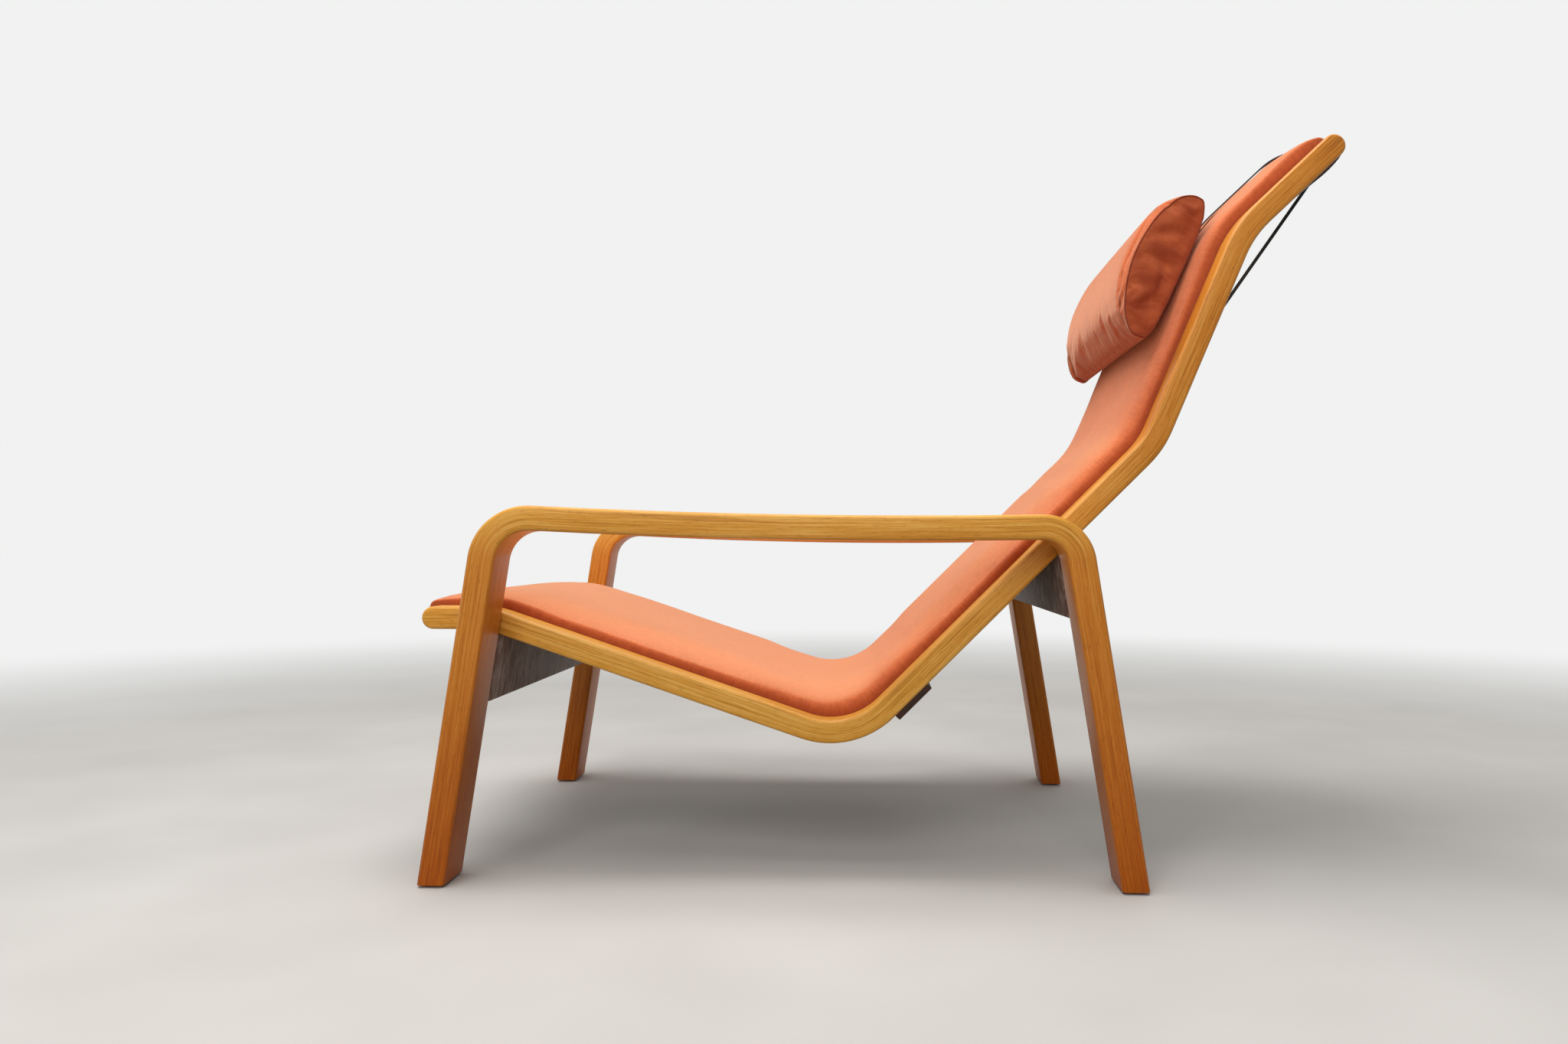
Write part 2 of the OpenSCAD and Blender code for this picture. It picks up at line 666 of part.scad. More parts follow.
// Crown in a bend: an arc of its own radius, between lines at the crown's height on both sides
function crown_point(i, part, height, radius) =
    vertex(i) + (height + radius) / cos(turn(i) / 2) * left_of(bend_heading(i, 0.5))
    - radius * left_of(bend_heading(i, part));
function on_corner(i, part, height, radius, shoulder) =
    let (p = bend_point(i, part), up = left_of(bend_heading(i, part)), spine = p + pad_side_height * up)
    [spine, crown_point(i, part, height, radius), p + pad_low_height * up, spine, shoulder];
function corner_stations(i, steps, h0, h1, radius, shoulder) = [
    for (k = [0 : steps]) on_corner(i, k / steps, h0 + (h1 - h0) * k / steps, radius, shoulder)
];
// On an outward bend the crown runs round the rails' own centre
function outward(i, height) = -(radii[i] + height);

nose_s = nose_roll_radius - pad_nose_overhang;
low_roll_radius = 9;
nose_roll = [for (a = [180, 150, 120, 90])
    let (spine = in_frame(NOSE, nose_s, pad_side_height)) [
        spine,
        in_frame(NOSE, nose_s + nose_roll_radius * cos(a),
            pad_nose_height + nose_roll_radius * (sin(a) - 1)),
        in_frame(NOSE, low_roll_radius * (1 + cos(a)) - pad_nose_overhang,
            pad_low_height + low_roll_radius * (1 - sin(a))),
        spine,
        pad_end_shoulder
    ]];

pad_droop = droop_angle(pad_head_height, roll_out, head_roll_radius, head_droop_radius);
pad_droop_start = droop_start(pad_head_height, roll_out, head_roll_radius, head_droop_radius);
lip_s = head_length - top_slat_from_end + top_slat_width / 2 + 1.5;
lip_angle = acos((lip_s - roll_s) / head_roll_radius);
function roll_point(a) = [roll_s + head_roll_radius * cos(a), roll_out + head_roll_radius * sin(a)];
function droop_point(part) = [
    pad_droop_start + head_droop_radius * sin(part * pad_droop),
    pad_head_height + head_droop_radius * (cos(part * pad_droop) - 1)
];
function head_station(top, low) = [
    in_frame(HEAD, min(top[0], roll_s), pad_side_height),
    in_frame(HEAD, top[0], top[1]),
    in_frame(HEAD, low[0], low[1]),
    in_frame(HEAD, min(low[0], roll_s), pad_side_height),
    pad_end_shoulder
];
roll_top = 90 - pad_droop;
head_roll = [
    head_station(droop_point(0), [pad_droop_start, pad_low_height]),
    head_station(droop_point(0.5), [(pad_droop_start + roll_s) / 2, pad_low_height]),
    head_station(droop_point(1), [lip_s, pad_low_height]),
    head_station(roll_point(roll_top * 0.62), roll_point(-lip_angle)),
    head_station(roll_point(roll_top * 0.24), roll_point(-lip_angle * 0.7)),
    head_station(roll_point(-roll_top * 0.14), roll_point(-lip_angle * 0.42))
];
plain_head_end = [
    head_station(droop_point(0), [pad_droop_start, pad_low_height]),
    head_station(droop_point(1), [lip_s, pad_low_height]),
    head_station(roll_point(roll_top * 0.3), [roll_s + head_roll_radius * 0.8, pad_low_height + 4])
];

corner_rise = 2;
mixed_shoulder = (pad_shoulder + pad_end_shoulder) / 2;
function pad_stations(steps, wide) = concat(
    [on_straight(NOSE, nose_length / 2, (pad_nose_height + pad_corner_height) / 2, pad_end_shoulder)],
    corner_stations(SEAT, wide ? 3 : 1, pad_corner_height - corner_rise, pad_corner_height + corner_rise,
        outward(SEAT, pad_corner_height), mixed_shoulder),
    wide ? [on_straight(SEAT, seat_length / 8, (pad_corner_height + pad_seat_height) / 2 + corner_rise,
        pad_shoulder)] : [],
    [on_straight(SEAT, seat_length / 4, pad_seat_height, pad_shoulder)],
    wide ? [on_straight(SEAT, seat_length / 2, pad_seat_height, pad_shoulder)] : [],
    corner_stations(LOWER, steps, pad_seat_height, pad_seat_height, seat_crown_radius, pad_shoulder),
    [on_straight(LOWER, lower_back_length / 2, pad_seat_height, pad_shoulder)],
    corner_stations(MID, wide ? 3 : 1, pad_seat_height, pad_head_height, lumbar_crown_radius, pad_shoulder),
    wide ? [on_straight(MID, mid_back_length / 2, pad_head_height, pad_shoulder)] : [],
    corner_stations(HEAD, wide ? 3 : 2, pad_head_height, pad_head_height,
        outward(HEAD, pad_head_height), mixed_shoulder)
);
cover_stations = concat(nose_roll, pad_stations(6, true), head_roll);
core_stations = concat([nose_roll[1]], pad_stations(4, false), plain_head_end);

ring_edge = 86;
function ring_x(a, half) = half * sign(a) * pow(abs(sin(a)), 2 / pad_shoulder);
function scaled(st, tip, spine, x, half, scale) =
    let (p = st[spine] + (st[tip] - st[spine]) * scale * share(x, half, st[4])) [x, p[0], p[1]];
function pad_ring(stations, x, half, scale) = concat(
    [for (st = stations) scaled(st, 1, 0, x, half, scale)],
    [for (st = reversed(stations)) scaled(st, 2, 3, x, half, scale)]
);

// Skin over rings of n points each, with quadrilaterals halved, and both ends closed across
function ring_faces(count, n) = [
    for (j = [0 : count - 2]) for (i = [0 : n - 1])
        let (a = j * n + i, b = j * n + (i + 1) % n)
        for (face = [[a, b, b + n], [a, b + n, a + n]]) face
];
function cap_faces(first, n, flip) = [
    for (k = [0 : n / 2 - 2])
        let (a = first + k, b = a + 1, c = first + n - 2 - k, d = c + 1)
        for (face = [[a, b, c], [a, c, d]]) flip ? reversed(face) : face
];
module skin(rings) {
    n = len(rings[0]);
    count = len(rings);
    polyhedron(
        points = [for (ring = rings) for (p = ring) p],
        faces = concat(ring_faces(count, n), cap_faces(0, n, true), cap_faces((count - 1) * n, n, false)),
        convexity = 10
    );
}
module pad_form(stations, half, steps, scale) {
    skin([
        for (j = [0 : steps])
            pad_ring(stations, ring_x(ring_edge * (2 * j / steps - 1), half), half, scale)
    ]);
}

core_scale = 0.86;
core_gap = 0.01;
core_half = pad_half - 4;
module pad_foam() {
    color(cream) pad_form(core_stations, core_half - soft_gap, 6, core_scale - core_gap);
}

module pad_cover() {
    color(coral) difference() {
        pad_form(cover_stations, pad_half, 12, 1);
        pad_form(core_stations, core_half, 6, core_scale);
    }
}

// Straps: out from behind the pillow, over the head end and down to the slat that holds them
strap_in = strap_offset - strap_width / 2;
strap_out = strap_offset + strap_width / 2;
strap_straight_end = mid_back_length - tangent(HEAD);
loop_spare = 3;
loop_from = strap_straight_end - slide_up - loop_spare - loop_length;
strap_from = strap_straight_end - slide_up - loop_length - slide_down - 2 * loop_spare;
stud_diameter = 10;
stud_shank_diameter = 4;
stud_depth = 6;
// Frames on the straps' ends, from their inner face outwards
module at_studs() {
    for (part = [0.25, 0.75])
        on_rail(MID, strap_slat_top - strap_edge - part * strap_end_length)
            translate([strap_offset, 0, -soft_gap]) rotate([180, 0, 0]) children();
}
module stud_shanks(grow) {
    at_studs() translate([0, 0, -stud_depth - grow])
        cylinder(h = stud_depth + strap_thickness + 1 + grow, d = stud_shank_diameter + 2 * grow);
}

strap_roll_heading = head_angle - strap_droop;
strap_meet = strap_bend_centre - strap_bend_radius * left_of(strap_heading);
strap_end = run(MID) + (strap_slat_top - strap_edge - strap_end_length) * dir(mid_back_angle)
    - soft_gap * left_of(mid_back_angle);
// The strap's inner face, from its end behind the pillow to its end on the slat
strap_line = concat([rail_point(MID, strap_from)], rail_bend(HEAD));
strap_path = concat(
    [for (p = strap_line) [p[0] + strap_low * left_of(p[1]), p[1]]],
    arc(origin + head_frame(strap_droop_start, strap_low), head_angle, head_droop_radius, -strap_droop),
    arc(origin + strap_roll_centre + strap_roll_radius * left_of(strap_roll_heading), strap_roll_heading,
        strap_roll_radius, strap_heading - strap_roll_heading),
    arc(origin + strap_meet, strap_heading, strap_bend_radius, strap_end_heading - strap_heading),
    [[origin + strap_end, strap_end_heading]]
);
module strap() {
    color(black) difference() {
        across(strap_in, strap_out, bar(strap_path, 0, strap_thickness));
        stud_shanks(fit);
    }
}

module strap_studs() {
    color(steel) both_sides() {
        stud_shanks(0);
        at_studs() translate([0, 0, strap_thickness + fit])
            cylinder(h = 1.5, d1 = stud_diameter, d2 = stud_diameter - 3);
    }
}

// Pillow: a bolster with flat end panels and a flat back that faces the pad, drawn in a frame on
// its back with +Y up along it
pillow_mid = mid_back_length + pillow_over_neck - pillow_height / 2;
pillow_back = strap_low + strap_thickness + strap_clearance + loop_thickness + fit;
pillow_end = pillow_length / 2 - piping_thickness;
pillow_waist = pillow_thickness * 0.3;
pillow_points = 28;
// The higher, the closer to its end panels the pillow keeps its full section
pillow_end_power = 20;
top_round = 2.1;
low_round = 1.7;
back_round = 6;
function power(v, e) = sign(v) * pow(abs(v), e);
function roundness(a) = sin(a) < 0 ? back_round : cos(a) > 0 ? top_round : low_round;
function pillow_outline(scale, full, drop) = [
    for (k = [0 : pillow_points - 1])
        let (
            a = 180 - 360 * (k + 0.5) / pillow_points,
            e = 2 / roundness(a),
            depth = sin(a) > 0 ? pillow_thickness * (1 + full) - pillow_waist : pillow_waist + drop
        )
        [
            pillow_height / 2 * (1 + full / 3) * scale * power(cos(a), e),
            pillow_waist + depth * scale * power(sin(a), e)
        ]
];
// Close to its end panels the pillow is slimmer, leans back and settles
function pillow_ring(x, scale) =
    let (
        end_share = pow(x / pillow_end, pillow_end_power),
        q0 = in_frame(MID, pillow_mid, pillow_back),
        h = mid_back_angle - pillow_tilt * end_share
    )
    [for (p = pillow_outline(scale, pillow_fullness * (1 - end_share), pillow_end_drop * end_share))
        let (q = q0 + p[0] * dir(h) + p[1] * left_of(h)) [x, q[0], q[1]]];
module pillow_form(end, steps, scale) {
    skin([for (j = [0 : steps]) pillow_ring(end * sin(180 * j / steps - 90), scale)]);
}
module on_pillow_end() {
    on_rail(MID, pillow_mid) translate([0, 0, pillow_back]) rotate([-pillow_tilt, 0, 0]) children();
}

module pillow_cover() {
    color(coral) difference() {
        pillow_form(pillow_end, 10, 1);
        pillow_form(pillow_end - 4, 6, 0.93);
    }
}

module pillow_filling() {
    color(cream) pillow_form(pillow_end - 4 - soft_gap, 6, 0.92);
}

module pillow_piping() {
    color(coral_dark) both_sides() difference() {
        on_pillow_end()
            across(pillow_end + fit, pillow_length / 2, pillow_outline(1.02, 0, pillow_end_drop));
        on_pillow_end() across(0, far, pillow_outline(0.97, 0, pillow_end_drop));
    }
}

module pillow_loops() {
    wall = strap_clearance + loop_thickness;
    high = pillow_back - fit - strap_low;
    channel = strap_thickness + 2 * strap_clearance;
    color(coral_dark) both_sides() on_rail(MID, loop_from) difference() {
        translate([strap_in - wall, 0, strap_low - wall])
            cube([strap_width + 2 * wall, loop_length, high + wall]);
        translate([strap_in - strap_clearance, -1, strap_low - strap_clearance])
            cube([strap_width + 2 * strap_clearance, loop_length + 2, channel]);
    }
}

arm_frame();  // arm_frame_left
mirror([1, 0, 0]) arm_frame();  // arm_frame_right
front_board();
rear_board();
board_dowels();
floor_glides();
pad_rail();  // pad_rail_left
mirror([1, 0, 0]) pad_rail();  // pad_rail_right
lower_slat();
strap_slat();
top_slat();
slat_dowels();
frame_bolts();
bolt_spacers();
leg_inserts();
slat_screws();
seat_webbing();
back_webbing();
webbing_clips();
pad_lining();
pad_foam();
pad_cover();
strap();  // strap_left
mirror([1, 0, 0]) strap();  // strap_right
strap_studs();
pillow_cover();
pillow_filling();
pillow_loops();
pillow_piping();
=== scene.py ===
"""A bentwood high-back lounge chair with a slung pad and a head pillow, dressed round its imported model.

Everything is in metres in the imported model's frame: the chair faces -Y, +Z is up, X runs across it.
"""
import math

import bmesh
import bpy
from bpy.props import FloatProperty, FloatVectorProperty, PointerProperty
from mathutils import Matrix, Vector, noise


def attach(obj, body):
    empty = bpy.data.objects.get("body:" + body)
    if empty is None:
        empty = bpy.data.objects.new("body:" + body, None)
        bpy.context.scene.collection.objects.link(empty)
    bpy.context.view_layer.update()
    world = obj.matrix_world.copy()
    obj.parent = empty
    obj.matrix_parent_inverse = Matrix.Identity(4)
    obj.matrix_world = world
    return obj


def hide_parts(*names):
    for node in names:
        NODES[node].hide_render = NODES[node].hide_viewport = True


bl_info = {
    "name": "Bentwood lounge chair",
    "version": (1, 0, 0),
    "blender": (4, 5, 0),
    "location": "View3D > Sidebar > Lounge chair",
    "description": "Dresses a bentwood lounge chair with its pad, straps and head pillow",
    "category": "Add Mesh",
}

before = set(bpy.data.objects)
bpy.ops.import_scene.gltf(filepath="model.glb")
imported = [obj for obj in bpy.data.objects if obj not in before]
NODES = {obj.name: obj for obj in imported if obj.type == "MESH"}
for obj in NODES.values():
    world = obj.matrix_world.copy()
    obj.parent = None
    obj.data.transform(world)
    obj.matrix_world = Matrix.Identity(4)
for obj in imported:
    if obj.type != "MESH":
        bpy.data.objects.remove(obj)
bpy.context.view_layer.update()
MM = 0.001

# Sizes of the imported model, in millimetres and degrees
ARM_INNER, ARM_OUTER, ARM_THICK, LEG_THICK = 263.0, 327.0, 30.0, 33.0
ARM_LOW = 448.5
ARM_DIP_RADIUS = 9000.0
ARM_DIP_FROM_TOE = 573.0
FRONT_LEAN, REAR_LEAN = 8.6, 9.3
FRONT_BEND, REAR_BEND = 72.0, 62.0
FOOT_SETBACK = 21.5
REAR_BOLT_ALONG = 389.0
GLIDE = 3.0
RAIL_INNER, RAIL_OUTER, RAIL_DEPTH = 223.0, 261.0, 28.5
NOSE_AT = (-574.49, 305.5)
LENGTHS = (80.5, 491.0, 544.0, 288.0, 161.0)
HEADINGS = (0.0, -18.7, 45.0, 67.4, 43.5)
RADII = (0.0, 100.0, 114.0, 130.0, 125.0, 0.0)
NOSE, SEAT, LOWER, MID, HEAD = range(5)
TOP_SLAT_WIDTH, TOP_SLAT_IN, TOP_SLAT_PROUD, TOP_SLAT_FROM_END = 60.0, 7.0, 3.5, 38.0
TOP_SLAT_HALF = RAIL_OUTER - 12.0
STRAP_SLAT_END = 126.0
PAD_HALF, PAD_SIDE, PAD_LOW = 222.0, 28.0, 13.8
PAD_NOSE, PAD_CORNER, PAD_SEAT, PAD_HEAD = 40.5, 51.0, 60.0, 54.0
SEAT_CROWN, LUMBAR_CROWN = 100.0, 170.0
NOSE_OVER, NOSE_ROLL, LOW_ROLL = 13.0, 18.0, 9.0
HEAD_ROLL, ROLL_S, ROLL_OUT, DROOP = 23.0, 152.0, 21.0, 82.0
SHOULDER, END_SHOULDER = 3.5, 8.0
LINING_HALF, LINING_OUT = 202.0, 12.8
STRAP_IN, STRAP_OUT, STRAP_THICK = 129.0, 149.0, 2.0
STRAP_BEND, STRAP_END = 20.0, 30.0
LOOP_LENGTH, LOOP_SPARE, SLIDE_UP, SLIDE_DOWN = 40.0, 3.0, 15.0, 45.0
PILLOW_MID, PILLOW_HALF = 233.0, 99.0
PILLOW_THICK, PILLOW_FULL = 63.0, 0.08
PILLOW_TILT, PILLOW_DROP = 2.3, 4.0
PILLOW_END, PILLOW_SEAM = 197.0, 184.0
WEBBING_MID, WEBBING_WIDTH = 11.0, 50.0


def linear(code, alpha=True):
    """An sRGB hex colour as the linear values that the shaders take."""
    values = []
    for k in (1, 3, 5):
        c = int(code[k:k + 2], 16) / 255
        values.append(c / 12.92 if c <= 0.04045 else ((c + 0.055) / 1.055) ** 2.4)
    return (*values, 1.0) if alpha else tuple(values)


def length_setting(name, description, default):
    return FloatProperty(name=name, description=description, default=default * MM, min=0.0, unit="LENGTH")


def colour_setting(name, description, code):
    value = linear(code, False)
    return FloatVectorProperty(
        name=name, description=description, default=value, subtype="COLOR", min=0.0, max=1.0
    )


class ChairSizes(bpy.types.PropertyGroup):
    """Small sizes that finish the chair's pieces."""

    arm_edge: length_setting("Arm edge", "Rounding of the arm frames' long edges", 4.5)
    rail_edge: length_setting("Rail edge", "Rounding of the pad rails' long edges", 5.5)
    board_edge: length_setting("Board edge", "Rounding of the boards' edges", 1.2)
    pad_swell: length_setting("Pad swell", "How far the pad's cloth may swell", 3.0)
    pillow_swell: length_setting("Pillow swell", "How far the pillow's cloth may swell", 6.0)
    piping: length_setting("Piping", "Thickness of the piping round the pillow's end panels", 2.0)


class ChairColours(bpy.types.PropertyGroup):
    """Colours of the chair's finishes."""

    beech_light: colour_setting("Beech, light", "Pale early wood under the varnish", "#f3c064")
    beech_mid: colour_setting("Beech, middle", "Main tone of the varnished beech", "#de9b36")
    beech_dark: colour_setting("Beech, dark", "Late wood and glue lines", "#8c5014")
    amber: colour_setting("Amber", "Darker varnish tint, painted shade on the legs below the armrest", "#d79840")
    board: colour_setting("Boards", "Dark stain of the boards", "#6a4637")
    board_worn: colour_setting("Boards, worn", "Where the stain has worn to grey", "#bfafa2")
    slat: colour_setting("Slats", "Dark stain of the slats", "#37211a")
    slat_worn: colour_setting("Slats, worn", "Where the slats' stain is thin", "#5c3626")
    wool: colour_setting("Wool", "Cover of the pad and the pillow", "#db7342")
    wool_painted_highlight: colour_setting("Wool, painted highlight", "Cover lightened as a painted highlight where it faces up", "#efa777")
    # Also the colour that painted shade on the pad and the pillow darkens towards
    wool_shade: colour_setting("Wool, deep", "Darker yarns and the piping", "#8c3315")
    leather: colour_setting("Leather", "The pillow's straps", "#15131a")
    lining: colour_setting("Lining", "Cotton under the pad", "#d8ccb0")
    steel: colour_setting("Steel", "Zinc-plated bolts and screws", "#b4b6b8")


# Lines in the YZ plane -----------------------------------------------------------------------------


def heading_vector(angle):
    return Vector((math.cos(angle), math.sin(angle)))


def left_vector(angle):
    return Vector((-math.sin(angle), math.cos(angle)))


class Line:
    """A line in the YZ plane made of straights and bends. Offsets count to the left of its heading."""

    def __init__(self, point, heading):
        self.end, self.heading, self.length, self.parts = Vector(point), heading, 0.0, []

    def go(self, length):
        self.parts.append((self.length, length, self.end.copy(), self.heading, 0.0, 0.0))
        self.end = self.end + length * heading_vector(self.heading)
        self.length += length
        return self

    def bend(self, radius, angle):
        side = math.copysign(1.0, angle)
        centre = self.end + side * radius * left_vector(self.heading)
        self.parts.append((self.length, radius * abs(angle), centre, self.heading, radius, angle))
        self.heading += angle
        self.end = centre - side * radius * left_vector(self.heading)
        self.length += radius * abs(angle)
        return self

    def at(self, along, out=0.0):
        """Point at a distance along the line and to its left, and the heading there."""
        part = next((p for p in self.parts if along <= p[0] + p[1]), self.parts[-1])
        start, length, origin, heading, radius, angle = part
        if not radius:
            return origin + (along - start) * heading_vector(heading) + out * left_vector(heading), heading
        turned = heading + angle * (along - start) / length
        return origin + (out - math.copysign(radius, angle)) * left_vector(turned), turned

    def locate(self, y, z):
        """Distance along the line and to its left of a point, from the nearest part."""
        found = []
        for k, (start, length, origin, heading, radius, angle) in enumerate(self.parts):
            v = Vector((y, z)) - origin
            if not radius:
                along, out = v.dot(heading_vector(heading)), v.dot(left_vector(heading))
                before = along if k else 0.0
                after = along - length if k < len(self.parts) - 1 else 0.0
            else:
                side = math.copysign(1.0, angle)
                left = -side * v
                turned = (math.atan2(left.y, left.x) - math.pi / 2 - heading) * side
                turned = (turned + math.pi) % (2 * math.pi) - math.pi
                along, out = turned * radius, side * (radius - v.length)
                before, after = along, along - length
            miss = max(-before, after, 0.0)
            found.append((miss + 0.01 * abs(out), start + along, out))
        return min(found)[1:]


def rail_corner(i):
    """Corner i of the rails' rear and underside line, before it is rounded."""
    point = Vector(NOSE_AT)
    for k in range(i):
        point = point + LENGTHS[k] * heading_vector(math.radians(HEADINGS[k]))
    return point * MM


def turn(i):
    return math.radians(HEADINGS[i] - HEADINGS[i - 1]) if 0 < i < len(HEADINGS) else 0.0


def tangent(i):
    return RADII[i] * math.tan(abs(turn(i)) / 2)


def rail_line():
    """The rails' underside and rear line, from the nose to the head end."""
    line = Line(Vector(NOSE_AT) * MM, 0.0)
    for i, length in enumerate(LENGTHS):
        if i:
            line.bend(RADII[i] * MM, turn(i))
        line.go((length - tangent(i) - tangent(i + 1)) * MM)
    return line


RAIL = rail_line()


def along_rail(i, s):
    """Distance along the rail line of a place s millimetres from corner i, on the straight after it."""
    straight = [p for p in RAIL.parts if not p[4]][i]
    return straight[0] + (s - tangent(i)) * MM


def in_rail_frame(i, s, out):
    """Point s millimetres along straight i from its corner, and out from its rear line."""
    heading = math.radians(HEADINGS[i])
    return rail_corner(i) + MM * (s * heading_vector(heading) + out * left_vector(heading))


def arm_half(heading):
    """Half the thickness of an arm frame, which grows from the armrest down to the legs."""
    return (ARM_THICK + (LEG_THICK - ARM_THICK) * math.sin(heading) ** 2) / 2


def arm_line():
    """The middle line of an arm frame: up the front leg, over the dipped armrest and down the rear leg."""
    mid = ARM_THICK / 2
    up_front = heading_vector(math.radians(90 - FRONT_LEAN))
    up_rear = -heading_vector(math.radians(REAR_LEAN - 90))
    toe = NOSE_AT[0] + FOOT_SETBACK
    lean = math.radians(FRONT_LEAN)
    front = Vector((toe + arm_half(math.pi / 2 - lean) / math.cos(lean), 0.0))
    corner = rail_corner(LOWER) / MM
    slope = math.radians(HEADINGS[LOWER])
    bolt = corner + REAR_BOLT_ALONG * heading_vector(slope) + RAIL_DEPTH / 2 * left_vector(slope)
    rear = Vector((bolt.x + bolt.y * math.tan(math.radians(REAR_LEAN)), 0.0))
    dip = Vector((toe + ARM_DIP_FROM_TOE, ARM_LOW + ARM_DIP_RADIUS))
    dip_radius = ARM_DIP_RADIUS + mid
    legs = []
    for foot, up, radius in ((front, up_front, FRONT_BEND - mid), (rear, up_rear, REAR_BEND - mid)):
        inward = Vector((up.y, -up.x)) * (1 if foot is front else -1)
        w = foot + radius * inward - dip
        b = w.dot(up)
        reach = -b - math.sqrt(b * b - w.dot(w) + (dip_radius + radius) ** 2)
        to_dip = foot + reach * up + radius * inward - dip
        legs.append((foot, up, radius, reach, math.atan2(to_dip.y, to_dip.x) + math.pi / 2))
    (f_foot, f_up, f_radius, f_reach, f_turned), (_, _, r_radius, r_reach, r_turned) = legs
    heading = math.radians(90 - FRONT_LEAN)
    line = Line((f_foot - ARM_THICK * f_up) * MM, heading)
    line.go((f_reach + ARM_THICK) * MM)
    line.bend(f_radius * MM, f_turned - heading)
    line.bend(dip_radius * MM, r_turned - f_turned)
    line.bend(r_radius * MM, math.radians(REAR_LEAN - 90) - r_turned)
    return line.go((r_reach + ARM_THICK) * MM)


ARM = arm_line()


# Shader nodes --------------------------------------------------------------------------------------


def wire(tree, node, inputs):
    """Links or sets a node's inputs."""
    for name, value in inputs.items():
        if isinstance(value, bpy.types.NodeSocket):
            tree.links.new(value, node.inputs[name])
        else:
            node.inputs[name].default_value = value


def add(tree, kind, inputs=None, stops=None, **settings):
    """Adds a shader node with its settings and its inputs. Stops are a ramp's places and colours."""
    node = tree.nodes.new("ShaderNode" + kind)
    for name, value in settings.items():
        setattr(node, name, value)
    if stops:
        elements = node.color_ramp.elements
        while len(elements) < len(stops):
            elements.new(1.0)
        for element, (place, colour) in zip(elements, stops):
            element.position, element.color = place, colour
    wire(tree, node, inputs or {})
    return node


def attribute(tree, name, output="Vector"):
    return add(tree, "Attribute", attribute_name=name).outputs[output]


def object_place(tree):
    return add(tree, "TexCoord").outputs["Object"]


def split(tree, vector):
    """The three parts of a vector."""
    return add(tree, "SeparateXYZ", {0: vector}).outputs


def maths(tree, operation, *values):
    return add(tree, "Math", dict(enumerate(values)), operation=operation).outputs[0]


def scaled(tree, vector, scale):
    return add(tree, "Mapping", {"Vector": vector, "Scale": scale}).outputs[0]


def noisy(tree, vector, scale=1.0, detail=2.0, roughness=0.5, distortion=0.0):
    inputs = {"Vector": vector, "Scale": scale, "Detail": detail, "Roughness": roughness}
    return add(tree, "TexNoise", inputs | {"Distortion": distortion}).outputs[0]


def ranged(tree, value, low, high, to_low=0.0, to_high=1.0):
    """A value's range turned into another range."""
    inputs = {"Value": value, "From Min": low, "From Max": high, "To Min": to_low, "To Max": to_high}
    return add(tree, "MapRange", inputs).outputs[0]


def blend(tree, share, a, b, kind="MIX"):
    """Colour a with that share of colour b."""
    return add(tree, "Mix", {0: share, 6: a, 7: b}, data_type="RGBA", blend_type=kind).outputs[2]


def ramp(tree, value, *stops):
    return add(tree, "ValToRGB", {"Fac": value}, stops=stops).outputs[0]


def bump(tree, height, strength, distance):
    return add(tree, "Bump", {"Height": height, "Strength": strength, "Distance": distance}).outputs[0]


def finish_named(name):
    """A new material with its node tree and its surface shader."""
    made = bpy.data.materials.new(name)
    made.use_nodes = True
    return made, made.node_tree, made.node_tree.nodes["Principled BSDF"]


def rgba(colour, times=1.0):
    """A colour with alpha, made lighter or darker."""
    return (*(min(1.0, times * c) for c in colour), 1.0)


